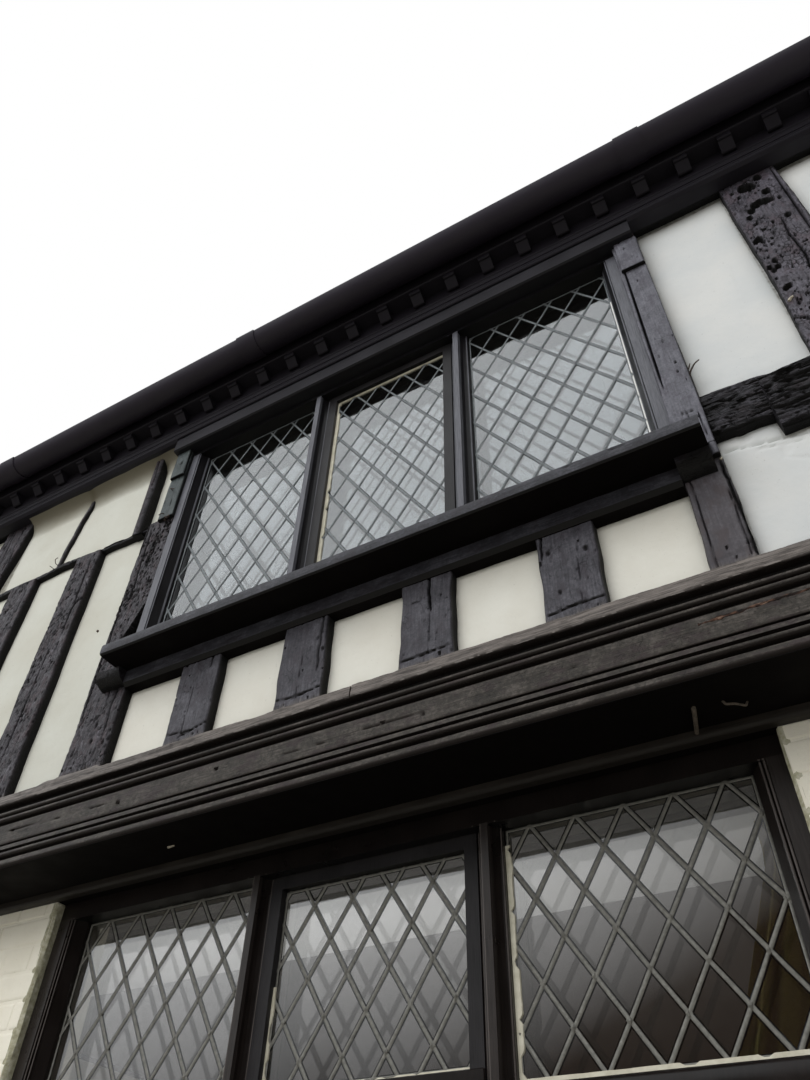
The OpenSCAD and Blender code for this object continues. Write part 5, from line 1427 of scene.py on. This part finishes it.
def lump(radius, flat, rings=4, count=8):
    """A round shape of a few dozen faces, squashed along y."""
    made = []
    for i in range(1, rings):
        w = math.pi * i / rings
        wide = radius * math.sin(w)
        made.append([[wide * math.cos(v), -flat * math.cos(w), wide * math.sin(v)]
                     for v in np.linspace(0, 2 * math.pi, count, endpoint=False)])
    return tube(np.array(made))


for part, shape, lead, seed in (("upper", lump(6.5, 4.4), dark_lead, 3),
                                ("ground", lump(8.5, 4.6, count=6), pale_lead, 4)):
    spread(f"solder_joints_{part}", shape, works[part][3], lead, "old_glass", seed=seed, turn=0.2, shift=0.5)

# %% [markdown]
# Cream putty shows beside some of the panes: round the upper casement, and at the left edge and foot of the
# ground lights. It is thick and uneven, so its width follows noise.

# %% Putty


def putty_line(ax, az, bx, bz, y, thick, seed, rise=3.5, wear_and_highlight=0.15):
    """A chipped fillet of putty along an edge of a light, from a to b; thick is its width, with a sign."""
    long = math.hypot(bx - ax, bz - az)
    t = np.linspace(0, 1, max(6, int(long / 9)))
    w = thick * (1 + wear_and_highlight * ripple(t * long / 35, seed) - 0.6 * (ripple(t * long / 22, seed + 1, 1) > 0.7))
    x, z = ax + (bx - ax) * t, az + (bz - az) * t
    ux, uz = (1, 0) if ax == bx else (0, 1)
    return strip((x + ux * a * w, y + b, z + uz * a * w)
                 for a, b in ((0, -rise), (0, 3), (1, 3), (0.9, -rise * 0.7)))


x0, x1 = UPPER_LIGHTS[1][0] + CASEMENT_W, UPPER_LIGHTS[1][1] - CASEMENT_W
z0, z1 = UPPER_LIGHT[0] + CASEMENT_W, UPPER_LIGHT[1] - CASEMENT_W
PUTTY_Y, GLAZED = FRONT + 47, BRICK + 79
putty = [putty_line(*ends, PUTTY_Y, thick, seed) for ends, thick, seed in (
    ((x0, z0, x0, z1), 13, 701), ((x1, z0, x1, z1), -8, 703), ((x0, z0, x1, z0), 4, 705),
    ((x0, z1, x1, z1), -8, 707))]
# A white strip down the right edge of the right upper light is a painted reflection of the sky in the panes;
# it stops where that reflection turns dark
x = UPPER_LIGHTS[2][1] + 2
sky_reflection_strip = putty_line(x, UPPER_LIGHT[0], x, 4056, PUTTY_Y, -7, 709, 2.2, 0.05)
piece("white_putty_upper", [sky_reflection_strip], fresh_paint)
for n, (x0, x1) in enumerate(GROUND_LIGHTS[1:]):
    # The middle light is a casement, and the right one is fixed
    inset, short, standing, lying = ((CASEMENT_W, 230, 8, 5), (0, 40, 13, 9))[n]
    for z0, z1 in TRANSOM_LIGHTS:
        x, z = x0 + inset, z0 + inset
        putty.append(putty_line(x, z, x, z1 - inset - short, GLAZED, standing, 711 + n, 4, 0.3))
        putty.append(putty_line(x, z, x1 - inset, z, GLAZED, lying, 721 + n, 4, 0.1))
piece("glazing_putty", putty, cream_paint)

# %% [markdown]
# The foot of the right hand ground light shows a transom. It is a moulded bar that runs behind the noses of
# the mullions, with a rail above and below it for the casement.

# %% Transom
lo, hi = TRANSOM
ring = [(-2152, lo + 10), (-2152, hi - 12), (-2146, hi - 4), (-2128, hi), (-2070, hi), (-2070, lo),
        (-2128, lo), (-2146, lo + 3)]
xs = np.linspace(-1078, 840, 160)
moulded = strip((xs, y + 0.4 * ripple(xs / 90, 731), z + 0.6 * ripple(xs / 120, 732)) for y, z in ring)
x0, x1 = GROUND_LIGHTS[1]
rails = [block((x0 + 1, BRICK + 56, z), (x1 - 1, BRICK + 96, z + CASEMENT_W), 2)
         for z in (hi + 1, lo - 1 - CASEMENT_W)]
piece("ground_window_transom", [moulded] + rails, joinery_ground)

# %% [markdown]
# ## Behind the glass
# A white beam runs along the ceiling, and an olive curtain hangs in gathers from a rod at the right. The
# curtain is one sheet of linen. Its folds are deeper where it is held together at the top, so that every
# row across it keeps the same length of cloth.

# %% Ceiling beam and curtain
beam = strip((np.array([-2400.0, 2400.0]), y, z) for y, z in (
    (-1830, 2533), (-1830, 2512), (-1812, 2494), (-1796, 2490), (-1530, 2490), (-1514, 2494), (-1496, 2512),
    (-1496, 2533)))
piece("ceiling_beam", [beam], fresh_paint)

ROD_Z, ROD_Y, CLOTH = 2462, -1925, 820.0
turns = np.linspace(0, 2 * np.pi, 12, endpoint=False)
rod = [np.stack([np.full(12, x), ROD_Y + r * np.cos(turns), ROD_Z + r * np.sin(turns)], -1)
       for x, r in ((826, 3), (828, 9), (838, 10), (844, 7), (1146, 7), (1152, 9), (1164, 10), (1168, 3))]
brackets = [block((x - 6, ROD_Y - 2, ROD_Z - 5), (x + 6, -1963, ROD_Z + 5), 1.5) for x in (870, 1120)]
piece("curtain_rod", [tube(np.array(rod))] + brackets, rusty_iron)


def gathered(left, right, count=181, folds=10):
    """One row of cloth from left to right whose folds are as deep as its full length asks."""
    t = np.linspace(0, 1, count)
    x = left + (right - left) * (t + 0.012 * np.sin(2 * np.pi * folds * t * 0.5))
    shape = np.sin(2 * np.pi * folds * t) * (1 + 0.25 * np.sin(2 * np.pi * 2.3 * t))
    low, high = 0.0, 60.0
    for _ in range(30):
        deep = (low + high) / 2
        if np.hypot(np.diff(x), np.diff(deep * shape)).sum() > CLOTH:
            high = deep
        else:
            low = deep
    return x, deep * shape


rows = []
CURTAIN_FOOT, CURTAIN_LEFT, CURTAIN_RIGHT = 1040, 790, 1130
for z in np.linspace(ROD_Z + 4, CURTAIN_FOOT, 40):
    # It is pulled a little to the left on its way down
    x, fold = gathered(CURTAIN_LEFT - 0.42 * np.clip(2370 - z, 0, 420), CURTAIN_RIGHT)
    rows.append(np.stack([x, ROD_Y + 42 + fold * 0.9, np.full_like(x, z)], -1))
cloth = np.array(rows)
across = np.gradient(cloth, axis=1)
normal = np.stack([-across[..., 1], across[..., 0], 0 * across[..., 0]], -1)
normal /= np.linalg.norm(normal, axis=-1, keepdims=True)
n, m = cloth.shape[:2]
quads, rim = sheet_faces(n, m)
faces = quads.tolist() + (quads[:, ::-1] + n * m).tolist()
for a, b in zip(rim, np.roll(rim, -1)):
    faces.append([int(b), int(a), int(a) + n * m, int(b) + n * m])
points = np.concatenate([(cloth - 0.6 * normal).reshape(-1, 3), (cloth + 0.6 * normal).reshape(-1, 3)])
curtain = piece("linen_curtain", [(points, outward(points, faces))], linen)

# %% [markdown]
# ## Bricks
# The ground storey is brick under several coats of masonry paint: the courses still show, softened by the
# paint, which has nearly filled the joints. Geometry Nodes set out one brick with rounded edges, 215 by
# 65 mm, in courses of 75 mm, headers and stretchers in turn. The CAD wall behind them is the mortar.

# %% Bricks
COURSE, JOINT = 75, 10
BRICK_LONG, BRICK_WIDE, BRICK_HIGH = 215, 102.5, 65
GROUND_TOP = 2510
# Openings as (left, foot, right, top)
holes = {"front": [(-1157, 960, 919, GROUND_TOP), (1250, 0, 2150, 2130), (1150, 2130, 2250, 2270)],
         "rear": [(-WINDOW, 1000, WINDOW, GROUND_TOP)], "left": [], "right": []}
spans = {"front": (-HALF, HALF), "rear": (-HALF, HALF), "left": (-1965, 2175), "right": (-1965, 2175)}


def brick_places(face, rows):
    made = []
    lo, hi = spans[face]
    for row in range(int(GROUND_TOP / COURSE) + 1):
        z = row * COURSE
        top = min(z + COURSE - JOINT, GROUND_TOP - 2)
        if top - z < 20:
            continue
        cursor = lo + (0 if row % 2 else -56)
        long = row % 2 == 0
        while cursor < hi - 4:
            length = BRICK_LONG if long else BRICK_WIDE
            long = not long
            x0, x1 = max(cursor, lo + 1), min(cursor + length, hi - 1)
            cursor += length + JOINT
            runs = [(x0, x1)]
            for hx0, hz0, hx1, hz1 in holes[face]:
                if hz0 < top - 4 and hz1 > z + 4:
                    runs = [q for p in runs for q in ((p[0], min(p[1], hx0 - 1)), (max(p[0], hx1 + 1), p[1]))
                            if q[1] - q[0] > 14]
            for p in runs:
                if p[1] - p[0] > 14:
                    made.append(((p[0] + p[1]) / 2, (z + top) / 2, (p[1] - p[0]) / BRICK_LONG,
                                 (top - z) / BRICK_HIGH))
    for middle, z, long_part, high_part in made:
        x, y = {"front": (middle, BRICK), "rear": (middle, REAR), "left": (-HALF, middle),
                "right": (HALF, middle)}[face]
        rows.append((x, y, z, 0, 0, 0 if face in ("front", "rear") else math.pi / 2, long_part, 1, high_part))


def rounded_brick(*arris):
    """A thin brick face, with pairs of (y, how far its outline is drawn in) from front to back."""
    return tube(np.array([[[x * (110 - c), y, z * (34 - c)] for x, z in ((-1, -1), (1, -1), (1, 1), (-1, 1))]
                          for y, c in arris]))


brick = rounded_brick((-2.6, 7), (-1.6, 2.5), (-0.2, 0), (0.2, 0), (1.6, 2.5), (2.6, 7))
plain_brick = rounded_brick((-2.6, 7), (0, 0), (2.6, 7))
for name, shape, walls, seed in (("street_front", brick, ["front"], 11),
                                 ("sides_and_rear", plain_brick, ["rear", "left", "right"], 12)):
    rows = []
    for face in walls:
        brick_places(face, rows)
    spread(f"bricks_{name}", shape, rows, brick_paint, "painted_brick", seed=seed, turn=0.004, shift=0.9)

# %% [markdown]
# Rough mortar closes the gap between the bricks and the window frame. It was never painted as well as the
# wall, and is green with damp.

# %% Mortar beside the window frame
zs = np.arange(1000, 2508, 6.0)
# Its section as (out from the frame, deep behind the bricks' face, how much it wanders)
section = ((-16, 0.5, 0), (-6, -2.5, 1), (0, -1.5, 1), (6, 6, 1.4), (5, 20, 1.4), (3, 31, 0.5), (-16, 31, 0))
mortar = []
for x, sign, seed in ((-1157, 1, 801), (919, -1, 802)):
    corners = []
    for out, deep, size in section:
        shift = size * 2.0 * waves(zs / 90, 0 * zs + out, seed)
        shift += size * 0.3 * waves(zs / 13, 0 * zs + deep, seed + 1)
        corners.append((x + sign * (out + shift), BRICK + deep + 0.5 * shift, zs))
    mortar.append(strip(corners))
piece("window_mortar", mortar, old_mortar)

# %% [markdown]
# ### Small iron
# Bent nails, wire hooks for lights, a spike and a hook under the jetty. Each is a thin round bar bent
# through a few points, so one helper sweeps them all.

# %% Nails, hooks and spikes


def bar(path, radius, tip=1.0, count=7):
    """A round bar bent through points, in mm, with its end thinned to a share of its radius."""
    path = np.array(path, float)
    t = np.linspace(0, len(path) - 1, 5 * (len(path) - 1) + 1)
    line = np.stack([np.interp(t, np.arange(len(path)), path[:, i]) for i in range(3)], -1)
    if len(path) > 2:
        line[1:-1] = (line[:-2] + 2 * line[1:-1] + line[2:]) / 4
    ahead = np.gradient(line, axis=0)
    ahead /= np.linalg.norm(ahead, axis=1, keepdims=True)
    side = np.cross(ahead, [0.31, 0.2, 0.93])
    side /= np.linalg.norm(side, axis=1, keepdims=True)
    other = np.cross(ahead, side)
    rings = []
    for i, p in enumerate(line):
        r = radius * (1 + (tip - 1) * i / (len(line) - 1))
        rings.append([p + r * (math.cos(w) * side[i] + math.sin(w) * other[i])
                      for w in np.linspace(0, 2 * math.pi, count, endpoint=False)])
    return tube(np.array(rings))


F = FRONT
iron = [bar([(1002, F + 6, 3448), (1012, F - 18, 3452), (1028, F - 26, 3466), (1042, F - 22, 3480)], 2.9,
            0.6),
        bar([(1010, F - 14, 3470), (1018, F - 20, 3482)], 2.2, 0.6),
        bar([(-1175, F + 36, 3418), (-1175, F + 25, 3418)], 4.5),
        bar([(-1593, F + 34, 3923), (-1593, F + 2, 3924), (-1586, F - 10, 3934), (-1578, F - 6, 3944)], 1.6),
        bar([(-1606, F + 30, 3906), (-1608, F - 4, 3908), (-1600, F - 12, 3900)], 1.5),
        bar([(-966, F - 4, 3872), (-958, F - 14, 3880), (-948, F - 10, 3870)], 5, 0.6),
        bar([(-951, F - 6, 3882), (-940, F - 14, 3874), (-930, F - 10, 3884)], 5.5, 0.6),
        bar([(-962, F - 12, 4034), (-964, F - 30, 4036), (-952, F - 34, 4022), (-942, F - 26, 4024)], 1.8),
        bar([(-968, F - 12, 3902), (-972, F - 24, 3896), (-984, F - 26, 3890)], 1.8)]
piece("nails_and_wire_hooks", iron, rusty_iron)
soffit_iron = [bar([(782, -2306, 2534), (778, -2290, 2522), (764, -2224, 2520), (759, -2198, 2530)], 5, 0.9),
               bar([(838, -2298, 2534), (844, -2298, 2522), (862, -2296, 2519), (880, -2290, 2512),
                    (884, -2284, 2524)], 3, 0.8)]
piece("spike_and_hook_under_jetty", soffit_iron, splashed_iron)
chips = [bar([(1306, F - 1, 3598), (1312, F - 2, 3606), (1319, F - 1, 3612)], 5, 0.7, 6),
         bar([(-640, -2296, 2527), (-628, -2295, 2528), (-618, -2297, 2527)], 3.5, 0.6),
         bar([(1003, F - 15, 3088), (1007, F - 16, 3094)], 3.0, 0.5)]
piece("pale_chips", chips, pale_chip)

# %% [markdown]
# ## Roof
# Plain clay tiles, 165 by 265 mm, lie in courses 100 mm apart, each course over two below it. They
# are set out by Geometry Nodes over a slab of felt and battens, and a row of angled tiles covers the ridge.

# %% Tiles
# The eaves' distance from the studs, the slopes' ends, and the thickness under the tiles
EAVES_OUT, VERGE, SLAB = 136, 2730, 58
TILE_STEP, TILE_LONG, GAUGE, TILE_HALF = 165, 265, 100, 82
LIE = math.radians(5.2)


def roof_z(out):
    return SLOPE_Z - (out - SLOPE_OUT) * ROOF_SLOPE


def slope_piece(sign):
    """Battens under the tiles of one slope."""
    y0, z0 = sign * (REAR + EAVES_OUT - 12), roof_z(EAVES_OUT - 12)
    rise = SLAB / math.cos(PITCH)
    ring = np.array([[y0, z0], [0, RIDGE_UNDER], [0, RIDGE_UNDER + rise], [y0, z0 + rise]])
    return tube(np.stack([np.c_[np.full(4, x), ring] for x in (-VERGE + 6, VERGE - 6)]))


def bent_tile():
    """A tile with a slight camber along its length: x across, y up the slope, z off the roof."""
    rings = []
    for y in np.linspace(0, TILE_LONG, 3):
        camber = 4 * (1 - ((y - 130) / 135) ** 2)
        ring = [(-81, 0), (81, 0), (81, 11), (40, 13), (-40, 13), (-81, 11)]
        rings.append([[x, y, z + camber] for x, z in ring])
    return tube(np.array(rings, float))


def tile_rows(sign):
    """Places of the tiles of one slope, with narrow ones at the verges in every other course."""
    rows = []
    for course in range(37):
        up_slope = course * GAUGE
        y = sign * (REAR + EAVES_OUT + 6 - up_slope * math.cos(PITCH))
        z = roof_z(EAVES_OUT + 6) + up_slope * math.sin(PITCH) + (SLAB + 24) / math.cos(PITCH)
        for i in range(34):
            x = -VERGE + 89 + i * TILE_STEP - (0 if course % 2 else TILE_STEP / 2)
            part_x = 1.0
            if x - TILE_HALF < -VERGE:
                x, part_x = -VERGE + 44, 0.52
            if x + TILE_HALF > VERGE:
                if x - TILE_HALF > VERGE - 40:
                    continue
                x, part_x = (x - TILE_HALF + VERGE) / 2, (VERGE - x + TILE_HALF) / 166
            rows.append((x, y, z, PITCH - LIE, 0, 0 if sign < 0 else math.pi, part_x, 1, 1))
    return rows


for sign, name in ((-1, "front"), (1, "rear")):
    slope = [f"{name}_roof_slope"]
    piece(f"roof_battens_{name}", [slope_piece(sign)], bare_oak, slope, smooth=False)
    spread(f"roof_tiles_{name}", bent_tile(), tile_rows(sign), clay, "clay_tile", slope, seed=20 + sign,
           turn=0.006, shift=1.0)

ridge_top = node_mm("ridge_tiles")[1][2]
RIDGE_SIDE, RIDGE_T = 164 * math.cos(PITCH), 17


def ridge_shape():
    """One ridge tile, 300 mm long, with its arris rounded."""
    rings = []
    for x, grow in ((-151, 2.5), (-140, 0), (140, 0), (151, 0)):
        half = [(RIDGE_SIDE, -RIDGE_SIDE * ROOF_SLOPE), (22, -22 * ROOF_SLOPE), (8, -14)]
        outer = [(-y, z) for y, z in half] + [(0, -10)] + half[::-1]
        inner = [(y * 0.97, z - RIDGE_T / math.cos(PITCH)) for y, z in outer[::-1]]
        rings.append([[x, y, z - grow] for y, z in outer + inner])
    return tube(np.array(rings, float))


ridge_rows = [(x, 0, ridge_top, 0, 0, 0, 1, 1, 1) for x in np.linspace(-VERGE + 152, VERGE - 152, 18)]
spread("roof_ridge_tiles", ridge_shape(), ridge_rows, clay, "clay_tile", ["ridge_tiles"], seed=31, turn=0.002)

# %% [markdown]
# ## Finishes of the CAD nodes that stay
# Mouldings, window frames, boards and the gutter are planed, cast or turned work, and the CAD
# part holds their true sections. They keep their meshes and get the finishes made above.

# %% Finishes on CAD nodes
FINISHES = {
    joinery_lying: ["window_head_board", "ground_window_sill", "bargeboards"],
    shaded_cornice_paint: ["cornices", "cornice_blocks"],
    batten_paint: ["head_batten"],
    joinery_upper: ["upper_window_frame"],
    joinery_ground: ["ground_window_frame"],
    joinery_standing: ["casements", "door_frame", "door", "rear_window_frames"],
    shaded_soffit_paint: ["jetty_soffit", "ground_wall_plate"],
    iron_paint: ["gutters"],
    lying_oak: ["wall_plates", "sill_beams", "door_lintel"],
    plain_plaster: ["side_panels", "rear_panels"],
    brick_paint: ["front_wall", "rear_wall", "left_wall", "right_wall"],
    shaded_ceiling_paint: ["ceiling"],
    cream_paint: ["secondary_frames"],
    clear_glass: ["secondary_glass"],
    flagstone: ["ground_floor", "threshold"],
    pine_boards: ["upper_floor"],
    bare_oak: ["floor_joists", "front_rafters", "rear_rafters", "ridge_board"],
}
for material, names in FINISHES.items():
    for name in names:
        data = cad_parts[name].data
        data.materials.clear()
        data.materials.append(material)
shown = {n for names in FINISHES.values() for n in names}
print("CAD nodes without a finish here:", sorted(n for n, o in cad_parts.items()
                                               if n not in shown and not o.hide_render))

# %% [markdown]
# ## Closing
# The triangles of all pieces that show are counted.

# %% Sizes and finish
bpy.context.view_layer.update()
total = 0
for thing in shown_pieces():
    thing.data.calc_loop_triangles()
    total += len(thing.data.loop_triangles)
print("triangles in all:", total)
